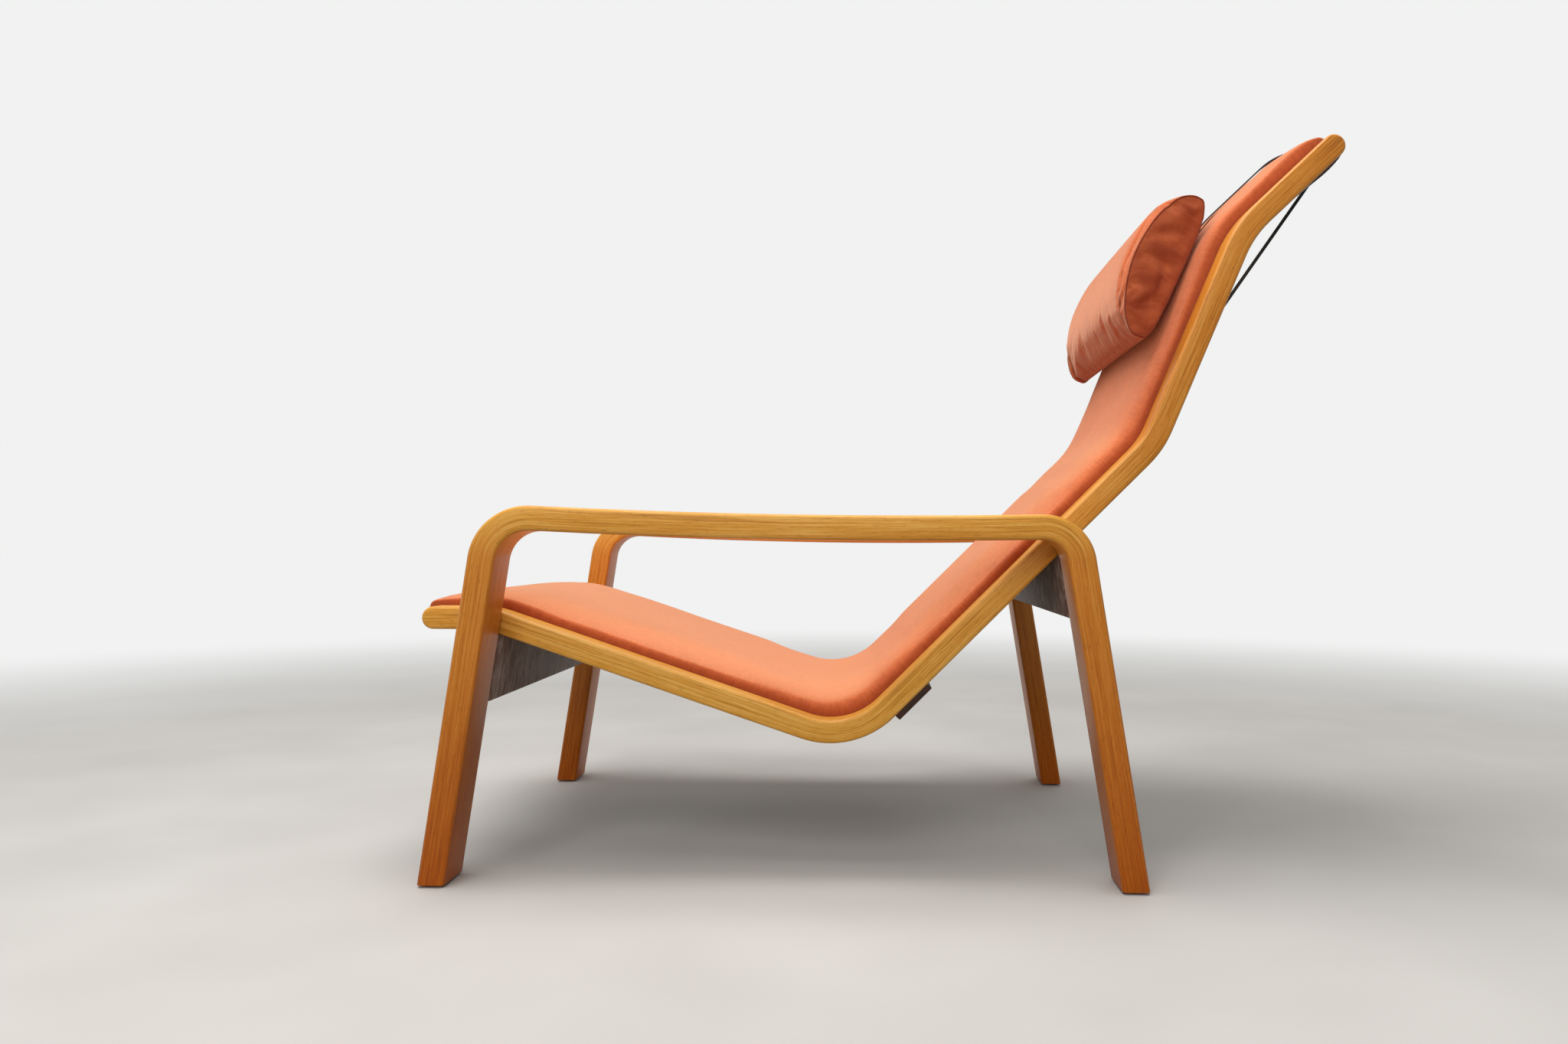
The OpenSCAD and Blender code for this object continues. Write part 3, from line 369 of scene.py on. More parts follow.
def beech_laminate(colours):
    """Laminated beech under a satin varnish. Veneers about 1.5 mm thick run round the bends, so the side
    faces show fine ply lines and the wide faces show long fibres."""
    made, tree, shader = finish_named("varnished_beech_laminate")
    light, dark = rgba(colours.beech_light), rgba(colours.beech_dark)
    grain, section = attribute(tree, "grain"), attribute(tree, "section")
    # Fibres 2 mm apart and 60 mm long; plies 2 mm thick; slow figure 60 mm across and 300 mm long
    fibre = noisy(tree, scaled(tree, grain, (480, 16, 480)), detail=4.0, roughness=0.6)
    ply = noisy(tree, scaled(tree, grain, (6, 3.5, 520)), roughness=0.55)
    slow = noisy(tree, scaled(tree, grain, (16, 3.4, 16)))
    fine = maths(tree, "MULTIPLY", maths(tree, "ADD", fibre, ply), 0.42)
    tone = maths(tree, "MULTIPLY_ADD", slow, 0.22, fine)
    base = ramp(tree, tone, (0.30, dark), (0.50, rgba(colours.beech_mid)), (0.68, light))
    # The glue lines: thin dark lines on the side faces where one veneer ends
    wander = maths(tree, "MULTIPLY_ADD", slow, 0.0012, split(tree, grain)[2])
    line = ranged(tree, maths(tree, "PINGPONG", wander, 0.0028), 0.0, 0.00035, 0.3, 0.0)
    line = maths(tree, "MULTIPLY", line, ranged(tree, ply, 0.42, 0.6))
    across, deep, untinted = split(tree, section)
    side, deep = maths(tree, "ABSOLUTE", across), maths(tree, "ABSOLUTE", deep)
    line = maths(tree, "MULTIPLY", line, ranged(tree, side, 0.86, 0.98))
    base = blend(tree, line, base, dark)
    # Lighter along the rounded edges: partly colour thinned by handling, partly a painted highlight
    corner = ranged(tree, maths(tree, "MULTIPLY", side, deep), 0.76, 0.95, 0.0, 0.45)
    base = blend(tree, maths(tree, "MULTIPLY", corner, slow), base, light)
    pore = noisy(tree, scaled(tree, grain, (900, 90, 900)))
    base = blend(tree, ranged(tree, pore, 0.58, 0.72, 0.0, 0.4), base, dark)
    # The amber tint darkens the varnish: on the arm frames it is painted shade on the legs below the armrest,
    # and on the rails it grows towards their upper parts
    amber = blend(tree, 1.0, base, rgba(colours.amber), "MULTIPLY")
    wire(tree, shader, {
        "Base Color": blend(tree, untinted, amber, base),
        "Roughness": ranged(tree, fibre, 0.0, 1.0, 0.32, 0.48),
        "Normal": bump(tree, fibre, 0.25, 0.0004),
        "Specular IOR Level": 0.2, "Coat Weight": 0.1, "Coat Roughness": 0.25, "Coat IOR": 1.5,
    })
    return made


def stained_board(fresh, worn_colour, name, streaks):
    """Board with a dull dark stain that has worn off in grey smears. Streaks are the pattern's scales."""
    made, tree, shader = finish_named(name)
    place = object_place(tree)
    worn = noisy(tree, scaled(tree, place, streaks), detail=6.0, roughness=0.62, distortion=0.4)
    fine = tuple(4.0 * s for s in streaks)
    grit = noisy(tree, scaled(tree, place, fine), detail=4.0, roughness=0.7)
    share = ranged(tree, maths(tree, "MULTIPLY_ADD", grit, 0.35, worn), 0.58, 0.86, 0.0, 0.75)
    wire(tree, shader, {
        "Base Color": blend(tree, share, rgba(fresh), rgba(worn_colour)),
        "Roughness": ranged(tree, worn, 0.0, 1.0, 0.45, 0.75),
        "Normal": bump(tree, grit, 0.3, 0.0004),
    })
    return made


def plain_wood(colours):
    """Turned beech dowel, raw, with short fibres along it."""
    made, tree, shader = finish_named("raw_beech_dowel")
    fibre = noisy(tree, scaled(tree, object_place(tree), (30, 500, 500)), detail=3.0)
    base = ramp(tree, fibre, (0.3, rgba(colours.beech_mid)), (0.7, rgba(colours.beech_light)))
    wire(tree, shader, {"Base Color": base, "Roughness": 0.6})
    return made


def woven_wool(colours, name, deep, stitched=0.0):
    """Fine plain-woven wool. Yarns are about 0.8 mm apart, drawn 2.4 mm apart to show in the render, with
    a soft fuzz that brightens where the cloth turns away. Stitched is where a seam runs, across the chair."""
    made, tree, shader = finish_named(name)
    cloth, place = attribute(tree, "cloth"), object_place(tree)
    turns = 2 * math.pi / 0.0024
    yarns = [maths(tree, "SINE", maths(tree, "MULTIPLY", part, turns)) for part in split(tree, cloth)[:2]]
    slub = noisy(tree, scaled(tree, cloth, (420, 60, 60)), detail=4.0, roughness=0.65)
    cross = noisy(tree, scaled(tree, cloth, (60, 420, 60)), detail=4.0, roughness=0.65)
    fine = maths(tree, "MULTIPLY_ADD", maths(tree, "MULTIPLY", *yarns), 0.08, maths(tree, "ADD", slub, cross))
    tone = maths(tree, "MULTIPLY_ADD", noisy(tree, place, 9.0, 3.0), 0.45, fine)
    dark = colours.wool_shade
    shade = rgba(dark, 0.55 if deep else 1.0)
    base = blend(tree, ranged(tree, tone, 0.85, 1.55, 0.55, 0.0), rgba(dark if deep else colours.wool), shade)
    # From -1 for a painted highlight where the pad faces up to 1 for painted shade at the pad's sides and on
    # the pillow's end panels and lower body; worn here carries this painted light, not wear
    worn = attribute(tree, "tone", "Fac")
    base = blend(tree, worn, base, shade)
    # Painted highlight: where the pad's cloth faces up it is lightened towards this colour
    base = blend(tree, maths(tree, "MULTIPLY", worn, -1.0), base, rgba(colours.wool_painted_highlight))
    if stitched:
        across = maths(tree, "ABSOLUTE", split(tree, place)[0])
        off = maths(tree, "ABSOLUTE", maths(tree, "SUBTRACT", across, stitched))
        base = blend(tree, ranged(tree, off, 0.0008, 0.0022, 0.7, 0.0), base, rgba(dark, 0.3))
    wire(tree, shader, {
        "Base Color": base, "Normal": bump(tree, fine, 0.35, 0.0006), "Roughness": 0.88,
        "Specular IOR Level": 0.25,
        "Sheen Weight": 0.6, "Sheen Roughness": 0.45, "Sheen Tint": linear("#ffd9bb"),
    })
    return made


def black_leather(colours):
    """Smooth bridle leather, waxed: fine pores and a soft gloss."""
    made, tree, shader = finish_named("waxed_black_leather")
    place = object_place(tree)
    pores = add(tree, "TexVoronoi", {"Vector": place, "Scale": 900.0}).outputs["Distance"]
    wear = noisy(tree, place, 60.0, 3.0)
    base = ramp(tree, wear, (0.4, rgba(colours.leather)), (0.8, rgba(colours.leather, 2.2)))
    wire(tree, shader, {"Base Color": base, "Normal": bump(tree, pores, 0.25, 0.0002), "Roughness": 0.42})
    return made


def ribbed_cloth(name, colour, spacing, rough):
    """Plain cloth or webbing with ribs across it, spaced in metres, and uneven yarns."""
    made, tree, shader = finish_named(name)
    place = object_place(tree)
    rib = maths(tree, "SINE", maths(tree, "MULTIPLY", split(tree, place)[0], 2 * math.pi / spacing))
    height = maths(tree, "MULTIPLY_ADD", rib, 0.25, noisy(tree, place, 220.0, 4.0))
    base = ramp(tree, height, (0.2, rgba(colour, 0.7)), (0.8, rgba(colour, 1.15)))
    wire(tree, shader, {"Base Color": base, "Normal": bump(tree, height, 0.4, 0.0005), "Roughness": rough})
    return made


def plated_steel(colours):
    """Zinc-plated steel, satin and faintly mottled."""
    made, tree, shader = finish_named("zinc_plated_steel")
    mottled = noisy(tree, object_place(tree), 260.0, 3.0)
    base = ramp(tree, mottled, (0.3, rgba(colours.steel, 0.75)), (0.7, rgba(colours.steel)))
    rough = ranged(tree, mottled, 0.0, 1.0, 0.3, 0.5)
    wire(tree, shader, {"Base Color": base, "Roughness": rough, "Metallic": 1.0})
    return made


def moulded_nylon():
    """Injection-moulded black nylon, slightly textured."""
    made, tree, shader = finish_named("moulded_black_nylon")
    grainy = noisy(tree, object_place(tree), 900.0)
    base = ramp(tree, grainy, (0.3, linear("#161616")), (0.7, linear("#262626")))
    wire(tree, shader, {"Base Color": base, "Normal": bump(tree, grainy, 0.2, 0.0002), "Roughness": 0.5})
    return made


MADE = {}


def finish(name):
    """The finish of that name, made when it is first asked for."""
    if name not in MADE:
        colours = bpy.context.scene.chair_colours
        board, worn = colours.board, colours.board_worn
        makers = {
            "beech": lambda: beech_laminate(colours),
            "front_board": lambda: stained_board(board, worn, "stained_board_front", (55, 55, 20)),
            "rear_board": lambda: stained_board(board, worn, "stained_board_rear", (50, 50, 34)),
            "slat": lambda: stained_board(colours.slat, colours.slat_worn, "stained_slat", (12, 90, 90)),
            "dowel": lambda: plain_wood(colours),
            "wool": lambda: woven_wool(colours, "woven_coral_wool", False),
            "pillow_wool": lambda: woven_wool(colours, "woven_pillow_wool", False, PILLOW_SEAM * MM),
            "piping": lambda: woven_wool(colours, "woven_piping", True),
            "leather": lambda: black_leather(colours),
            "webbing": lambda: ribbed_cloth("elastic_webbing", linear("#232226", False), 0.004, 0.8),
            "lining": lambda: ribbed_cloth("cotton_lining", colours.lining, 0.002, 0.9),
            "steel": lambda: plated_steel(colours),
            "nylon": moulded_nylon,
        }
        MADE[name] = makers[name]()
    return MADE[name]


# Mesh helpers --------------------------------------------------------------------------------------


def mesh_of(bm, name):
    mesh = bpy.data.meshes.new(name)
    bm.to_mesh(mesh)
    bm.free()
    return mesh


def linked(name, data):
    """A new object with that data, in the scene."""
    obj = bpy.data.objects.new(name, data)
    bpy.context.scene.collection.objects.link(obj)
    return obj


def keep_modified(obj):
    """Gives the object the mesh that its modifiers make, in their place."""
    shown = obj.evaluated_get(bpy.context.evaluated_depsgraph_get())
    mesh = bpy.data.meshes.new_from_object(shown)
    obj.modifiers.clear()
    obj.data = mesh


def smooth(mesh):
    mesh.polygons.foreach_set("use_smooth", [True] * len(mesh.polygons))


def only(kind, geom):
    return [g for g in geom if isinstance(g, kind)]


def as_piece(name, bm, finish_name, nodes, body="chair", crease=35.0, clean=True):
    """Makes an object of the bmesh, with smooth shading, its finish, its body and the nodes it stands for."""
    if clean:
        bmesh.ops.remove_doubles(bm, verts=bm.verts, dist=2e-6)
        bmesh.ops.recalc_face_normals(bm, faces=bm.faces)
    mesh = mesh_of(bm, name)
    smooth(mesh)
    mesh.set_sharp_from_angle(angle=math.radians(crease))
    obj = linked(name, mesh)
    mesh.materials.append(finish(finish_name))
    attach(obj, body)
    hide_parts(*nodes)
    return obj


def dress_node(name, finish_name):
    """Gives a node that stays as it is its finish."""
    mesh = NODES[name].data
    mesh.materials.clear()
    mesh.materials.append(finish(finish_name))


def painted_light_attribute(mesh, values):
    """The cloth's tone at each point, mostly painted light: from -1 for a painted highlight to 1 for painted
    shade.
    """
    mesh.attributes.new("tone", "FLOAT", "POINT").data.foreach_set("value", values)


def vector_attribute(mesh, name, values):
    layer = mesh.attributes.new(name, "FLOAT_VECTOR", "POINT")
    layer.data.foreach_set("vector", [c for v in values for c in v])


def section_face(bm, line, x0, x1, low, high):
    """The bar's section at the start of a line, as one face across it."""
    made = bmesh.ops.create_grid(bm, x_segments=1, y_segments=1, size=1.0)["verts"]
    start, heading = line.at(0.0)
    left = left_vector(heading)
    for v in made:
        out = high if v.co.y > 0 else low
        point = start + out * left
        v.co = (x1 if v.co.x > 0 else x0, point.x, point.y)
    return [f for f in bm.faces if all(v in made for v in f.verts)]


def sweep(bm, faces, line):
    """Carries faces along a line, extruding on its straights and spinning round its bends."""
    for start, length, origin, heading, radius, angle in line.parts:
        geom = faces + list({e for f in faces for e in f.edges}) + list({v for f in faces for v in f.verts})
        if radius:
            steps = max(math.ceil(length / 0.06), math.ceil(abs(angle) / math.radians(4.0)))
            made = bmesh.ops.spin(
                bm, geom=geom, cent=(0.0, origin.x, origin.y), axis=(1.0, 0.0, 0.0), angle=angle, steps=steps
            )["geom_last"]
        else:
            made = bmesh.ops.extrude_face_region(bm, geom=geom)["geom"]
            way = length * heading_vector(heading)
            bmesh.ops.translate(bm, verts=only(bmesh.types.BMVert, made), vec=(0.0, way.x, way.y))
            bmesh.ops.delete(bm, geom=[f for f in faces if f.is_valid and start > 0], context="FACES_ONLY")
        faces = only(bmesh.types.BMFace, made)
    return faces


def side_name(side):
    return "left" if side > 0 else "right"


def swept_bar(line, side, inner, outer, low, high):
    """A bar on one side of the chair, carried along a line between two offsets from it."""
    bm = bmesh.new()
    x0, x1 = sorted((side * inner * MM, side * outer * MM))
    sweep(bm, section_face(bm, line, x0, x1, low * MM, high * MM), line)
    bmesh.ops.recalc_face_normals(bm, faces=bm.faces)
    return bm


def round_edges(bm, radius, segments, chosen=None, least=50.0):
    """Rounds the edges that turn by at least that many degrees, or those of them that are chosen."""
    edges = [e for e in bm.edges if len(e.link_faces) == 2 and e.calc_face_angle(0.0) > math.radians(least)]
    if chosen:
        edges = [e for e in edges if chosen(e)]
    bmesh.ops.bevel(
        bm, geom=edges, offset=radius, offset_type="OFFSET", segments=segments, profile=0.5,
        affect="EDGES", clamp_overlap=True, material=-1,
    )


def grain_attributes(obj, line, side, inner, outer, middle_out, half_at, untinted):
    """Stores where each point lies in the bar: across, along and deep in it, for its plies and fibres, and
    how little of the varnish's amber tint it takes there, which is painted shade on the arm frames' legs."""
    grain, section = [], []
    half_x = (outer - inner) / 2 * MM
    for v in obj.data.vertices:
        along, out = line.locate(v.co.y, v.co.z)
        across = v.co.x - side * (inner + outer) / 2 * MM
        depth = out - middle_out
        grain.append((across, along, depth))
        section.append((across / half_x, depth / (half_at(line.at(along)[1]) * MM), untinted(v.co)))
    vector_attribute(obj.data, "grain", grain)
    vector_attribute(obj.data, "section", section)


def node_copy(name):
    """A merged copy of a node's mesh, with its flat faces made whole."""
    bm = bmesh.new()
    bm.from_mesh(NODES[name].data)
    bmesh.ops.remove_doubles(bm, verts=bm.verts, dist=2e-5)
    bmesh.ops.dissolve_limit(bm, angle_limit=math.radians(0.6), verts=bm.verts, edges=bm.edges)
    return bm


def mapped_grid(across, along, place):
    """A sheet of that many faces each way, with each point put in place from its two shares, 0 to 1."""
    bm = bmesh.new()
    made = bmesh.ops.create_grid(bm, x_segments=across, y_segments=along, size=1.0)["verts"]
    for v in made:
        v.co = place((v.co.x + 1) / 2, (v.co.y + 1) / 2)
    return bm


def inflate(obj, held, pressure, cap, shrink=0.0, frames=20):
    """Blows the cloth up with air for some frames and caps how far each point moves."""
    scene = bpy.context.scene
    rest = [v.co.copy() for v in obj.data.vertices]
    group = obj.vertex_groups.new(name="held")
    for index, weight in enumerate(held):
        if weight > 0:
            group.add([index], weight, "REPLACE")
    air = obj.modifiers.new("air", "CLOTH")
    settings = air.settings
    settings.quality = 6
    settings.use_pressure = True
    settings.uniform_pressure_force = pressure
    settings.effector_weights.gravity = 0.0
    settings.vertex_group_mass = group.name
    settings.shrink_min = shrink
    air.point_cache.frame_start, air.point_cache.frame_end = 1, frames
    for number in range(1, frames + 1):
        scene.frame_set(number)
    blown = obj.evaluated_get(bpy.context.evaluated_depsgraph_get())
    moved = [v.co.copy() for v in blown.data.vertices]
    obj.modifiers.remove(air)
    obj.vertex_groups.clear()
    scene.frame_set(1)
    for v, before, after in zip(obj.data.vertices, rest, moved):
        step = after - before
        limit = cap * (1.0 - held[v.index])
        if step.length > limit:
            step *= limit / max(step.length, 1e-9)
        v.co = before + step


def smoothstep(low, high, value):
    t = min(1.0, max(0.0, (value - low) / (high - low)))
    return t * t * (3 - 2 * t)


# Arm frames, boards and rails ----------------------------------------------------------------------


def arm_frame(side, radius):
    bm = swept_bar(ARM, side, ARM_INNER, ARM_OUTER, -ARM_THICK / 2, ARM_THICK / 2)
    for v in bm.verts:
        along, out = ARM.locate(v.co.y, v.co.z)
        point, heading = ARM.at(along)
        point = point + math.copysign(arm_half(heading) * MM, out) * left_vector(heading)
        v.co = (v.co.x, point.x, point.y)
    floor = GLIDE * MM
    everything = list(bm.verts) + list(bm.edges) + list(bm.faces)
    bmesh.ops.bisect_plane(bm, geom=everything, plane_co=(0, 0, floor), plane_no=(0, 0, 1), clear_inner=True)
    bmesh.ops.holes_fill(bm, edges=[e for e in bm.edges if e.is_boundary], sides=0)
    bmesh.ops.recalc_face_normals(bm, faces=bm.faces)
    round_edges(bm, radius, 4, chosen=lambda e: max(v.co.z for v in e.verts) > floor + 1e-5)
    round_edges(bm, 0.8 * MM, 2, chosen=lambda e: all(abs(v.co.z - floor) < 1e-5 for v in e.verts))
    name = side_name(side)
    obj = as_piece(f"bent_arm_{name}", bm, "beech", [f"arm_frame_{name}"])
    # The legs below the armrest take the amber tint as painted shade
    grain_attributes(
        obj, ARM, side, ARM_INNER, ARM_OUTER, 0.0, arm_half, lambda co: smoothstep(0.34, 0.46, co.z)
    )


def lens_cutter():
    """The notch for the top slat: a lens that stops short of the rails' outer faces."""
    bm = bmesh.new()
    made = bmesh.ops.create_circle(bm, cap_ends=True, segments=30, radius=1.0)["verts"]
    fit = 0.05
    middle = (TOP_SLAT_IN - TOP_SLAT_PROUD) / 2
    half = (TOP_SLAT_IN + TOP_SLAT_PROUD) / 2 + fit
    reach = TOP_SLAT_WIDTH / 2 + fit
    half_across = (TOP_SLAT_HALF + fit) * MM
    for v in made:
        s = LENGTHS[HEAD] - TOP_SLAT_FROM_END + reach * v.co.x
        v.co = (-half_across, *in_rail_frame(HEAD, s, middle + half * v.co.y))
    made = bmesh.ops.extrude_face_region(bm, geom=list(bm.faces))["geom"]
    bmesh.ops.translate(bm, verts=only(bmesh.types.BMVert, made), vec=(2 * half_across, 0, 0))
    bmesh.ops.recalc_face_normals(bm, faces=bm.faces)
    return linked("lens", mesh_of(bm, "lens"))


def pad_rail(side, radius, cutter):
    bm = swept_bar(RAIL, side, RAIL_INNER, RAIL_OUTER, 0.0, RAIL_DEPTH)
    depth = RAIL_DEPTH * MM
    # Both ends are half round, seen from the side
    ends = (RAIL.at(0.0, depth / 2)[0], RAIL.at(RAIL.length, depth / 2)[0])

    def is_end(e):
        middle = (e.verts[0].co + e.verts[1].co) / 2
        level = abs(e.verts[0].co.x - e.verts[1].co.x) > 0.02
        return level and any((Vector(middle.yz) - p).length < 0.6 * depth for p in ends)

    round_edges(bm, depth / 2 - 0.2 * MM, 8, chosen=is_end)
    bmesh.ops.remove_doubles(bm, verts=bm.verts, dist=1e-4)
    round_edges(bm, radius, 4)
    name = side_name(side)
    obj = as_piece(f"bent_rail_{name}", bm, "beech", [f"pad_rail_{name}"])
    cut = obj.modifiers.new("notch", "BOOLEAN")
    cut.operation, cut.solver, cut.object = "DIFFERENCE", "EXACT", cutter
    keep_modified(obj)
    # The rails take more of the amber tint towards their upper parts
    grain_attributes(
        obj, RAIL, side, RAIL_INNER, RAIL_OUTER, depth / 2, lambda heading: RAIL_DEPTH / 2,
        lambda co: 1.0 - 0.5 * smoothstep(0.3, 0.6, co.z),
    )


def bevelled_node(node, name, finish_name, radius, segments=2, body="chair", least=30.0):
    bm = node_copy(node)
    round_edges(bm, radius, segments, least=least)
    return as_piece(name, bm, finish_name, [node], body=body)


class CHAIR_OT_arm_frames(bpy.types.Operator):
    """Bend the two laminated arm frames and fit their floor glides"""

    bl_idname = "chair.arm_frames"
    bl_label = "Arm frames"

    def execute(self, context):
        for side in (1, -1):
            arm_frame(side, context.scene.chair_sizes.arm_edge)
        dress_node("floor_glides", "nylon")
        return {"FINISHED"}


class CHAIR_OT_boards(bpy.types.Operator):
    """Fit the two stained boards between the legs and their dowels"""

    bl_idname = "chair.boards"
    bl_label = "Boards"

    def execute(self, context):
        edge = context.scene.chair_sizes.board_edge
        bevelled_node("front_board", "front_cross_board", "front_board", edge)
        bevelled_node("rear_board", "rear_cross_board", "rear_board", edge)
        dress_node("board_dowels", "dowel")
        return {"FINISHED"}


class CHAIR_OT_rails(bpy.types.Operator):
    """Bend the two pad rails, with the notch for the top slat"""

    bl_idname = "chair.rails"
    bl_label = "Pad rails"

    def execute(self, context):
        cutter = lens_cutter()
        for side in (1, -1):
            pad_rail(side, context.scene.chair_sizes.rail_edge, cutter)
        bpy.data.objects.remove(cutter)
        return {"FINISHED"}


class CHAIR_OT_slats(bpy.types.Operator):
    """Fit the lower, strap and top slats and the strap slat's dowels"""

    bl_idname = "chair.slats"
    bl_label = "Slats"

    def execute(self, context):
        edge = context.scene.chair_sizes.board_edge
        bevelled_node("lower_slat", "lower_cross_slat", "slat", edge)
        bevelled_node("strap_slat", "strap_cross_slat", "slat", edge)
        bevelled_node("top_slat", "top_cross_slat", "slat", 0.4 * MM)
        dress_node("slat_dowels", "dowel")
        return {"FINISHED"}


class CHAIR_OT_fasteners(bpy.types.Operator):
    """Finish the bolts, spacers, inserts, screws, clips and studs"""

    bl_idname = "chair.fasteners"
    bl_label = "Fasteners"

    def execute(self, context):
        bevelled_node("frame_bolts", "socket_bolts", "steel", 0.5 * MM, least=60.0)
        bevelled_node("strap_studs", "rounded_studs", "steel", 0.3 * MM, least=40.0)
        for node in ("leg_inserts", "slat_screws", "webbing_clips"):
            dress_node(node, "steel")
        dress_node("bolt_spacers", "nylon")
        return {"FINISHED"}


# Webbing, lining and pad ---------------------------------------------------------------------------


def band_places():
    """Where each webbing band crosses the rails: the seat's bands and the back's."""

    def spread(i, low, high, count):
        return [(i, low + (high - low) * (k + 0.5) / count) for k in range(count)]

    bolt_clear = 9.0
    seat = spread(SEAT, tangent(SEAT) + 14, LENGTHS[SEAT] - tangent(LOWER) - 4, 5)
    lower = spread(LOWER, tangent(LOWER), REAR_BOLT_ALONG - bolt_clear, 3)
    upper = spread(LOWER, REAR_BOLT_ALONG + bolt_clear, LENGTHS[LOWER] - tangent(MID), 1)
    middle = spread(MID, tangent(MID) + 4, LENGTHS[MID] - tangent(HEAD), 3)
    return {"seat_webbing": seat, "back_webbing": lower + upper + middle}


def thicken(obj, thickness):
    wall = obj.modifiers.new("thickness", "SOLIDIFY")
    wall.thickness, wall.offset = thickness * MM, 0.0


def webbing(node, places):
    """Elastic bands stretched between the rails, a little slack at their edges."""
    whole = bmesh.new()
    reach = (RAIL_INNER + 6) * MM
    for number, (i, s) in enumerate(places):

        def place(u, v, i=i, s=s, number=number):
            x = (2 * u - 1) * reach
            edge = (2 * v - 1) ** 2 * 0.35 * math.cos(math.pi * x / (2 * reach))
            ripple = 0.12 * noise.noise(Vector((40 * x, 7 * v, number)))
            out = WEBBING_MID - 0.3 - edge + ripple
            return (x, *in_rail_frame(i, s + (v - 0.5) * WEBBING_WIDTH, out))

        mesh = mesh_of(mapped_grid(24, 8, place), "band")
        whole.from_mesh(mesh)
        bpy.data.meshes.remove(mesh)
    bmesh.ops.recalc_face_normals(whole, faces=whole.faces)
    obj = as_piece(f"woven_{node}", whole, "webbing", [node], clean=False)
    thicken(obj, 1.5)


def lining():
    """The cotton that closes the pad's underside, stretched from nose to head."""
    start, end = 30 * MM, along_rail(HEAD, LENGTHS[HEAD] - 14)

    def place(u, v):
        x = (2 * u - 1) * LINING_HALF * MM
        pucker = 0.15 * MM * noise.noise(Vector((30 * x, 30 * v, 3.0)))
        return (x, *RAIL.at(start + (end - start) * v, LINING_OUT * MM + pucker)[0])

    bm = mapped_grid(28, 150, place)
    obj = as_piece("stretched_lining", bm, "lining", ["pad_lining"])
    thicken(obj, 0.6)


def between(knots, value):
    """Value on a line through knots, which are pairs of a place and a value."""
    for (a, low), (b, high) in zip(knots, knots[1:]):
        if value <= b:
            return low + (high - low) * max(0.0, value - a) / (b - a)
    return knots[-1][1]


def softened(knots, along):
    """Value on a line through knots with their corners eased over 50 mm."""
    return sum(between(knots, along + 0.0125 * k) for k in (-2, -1, 0, 1, 2)) / 5


BEND_STARTS = [p[0] for p in RAIL.parts if p[4]]
BEND_ENDS = [p[0] + p[1] for p in RAIL.parts if p[4]]
CROWN_HEIGHTS = [
    (along_rail(NOSE, NOSE_ROLL - NOSE_OVER), PAD_NOSE), (along_rail(NOSE, LENGTHS[NOSE] / 2), 45.7),
    (BEND_STARTS[0], PAD_CORNER - 2), (BEND_ENDS[0], PAD_CORNER + 2), (along_rail(SEAT, 61), 57.5),
    (along_rail(SEAT, 123), PAD_SEAT), (BEND_STARTS[2], PAD_SEAT), (BEND_ENDS[2], PAD_HEAD),
]
SHOULDERS = [
    (along_rail(NOSE, LENGTHS[NOSE] / 2), END_SHOULDER), (BEND_STARTS[0], 5.8), (BEND_ENDS[0], 5.8),
    (along_rail(SEAT, 61), SHOULDER), (along_rail(MID, LENGTHS[MID] / 2), SHOULDER),
    (BEND_STARTS[3], 5.8), (BEND_ENDS[3], 5.8), (along_rail(HEAD, 110), END_SHOULDER),
]
CROWN_RADII = {LOWER: SEAT_CROWN, MID: LUMBAR_CROWN}


def crown_tangent(i):
    """Distance from corner i to the start of the crown's own bend there."""
    if i not in CROWN_RADII:
        return tangent(i)
    return (CROWN_RADII[i] + (PAD_SEAT if i == LOWER else PAD_HEAD)) * math.tan(abs(turn(i)) / 2)


def crown_point(along):
    """The pad's crown over a place along the rails. It runs round the inward bends on its own radius."""
    height = softened(CROWN_HEIGHTS, along)
    for k, (start, end) in enumerate(zip(BEND_STARTS, BEND_ENDS)):
        i = k + 1
        if start < along < end and i in CROWN_RADII:
            part = (along - start) / (end - start)
            before, radius = math.radians(HEADINGS[i - 1]), CROWN_RADII[i]
            middle = (height + radius) / math.cos(turn(i) / 2) * left_vector(before + turn(i) / 2)
            return rail_corner(i) + MM * (middle - radius * left_vector(before + part * turn(i)))
        if start < along < end:
            return RAIL.at(along, height * MM)[0]
    i = sum(along >= end for end in BEND_ENDS)
    first, last = tangent(i), LENGTHS[i] - tangent(i + 1)
    crown_first, crown_last = crown_tangent(i), LENGTHS[i] - crown_tangent(i + 1)
    share = (along - along_rail(i, first)) / MM / (last - first)
    return in_rail_frame(i, crown_first + share * (crown_last - crown_first), height)


def in_bend(along):
    """1 in the pad's two inward bends and 0 away from them."""
    return max(
        smoothstep(start - 0.12, start, along) * (1 - smoothstep(end, end + 0.12, along))
        for start, end in zip(BEND_STARTS[1:3], BEND_ENDS[1:3])
    )


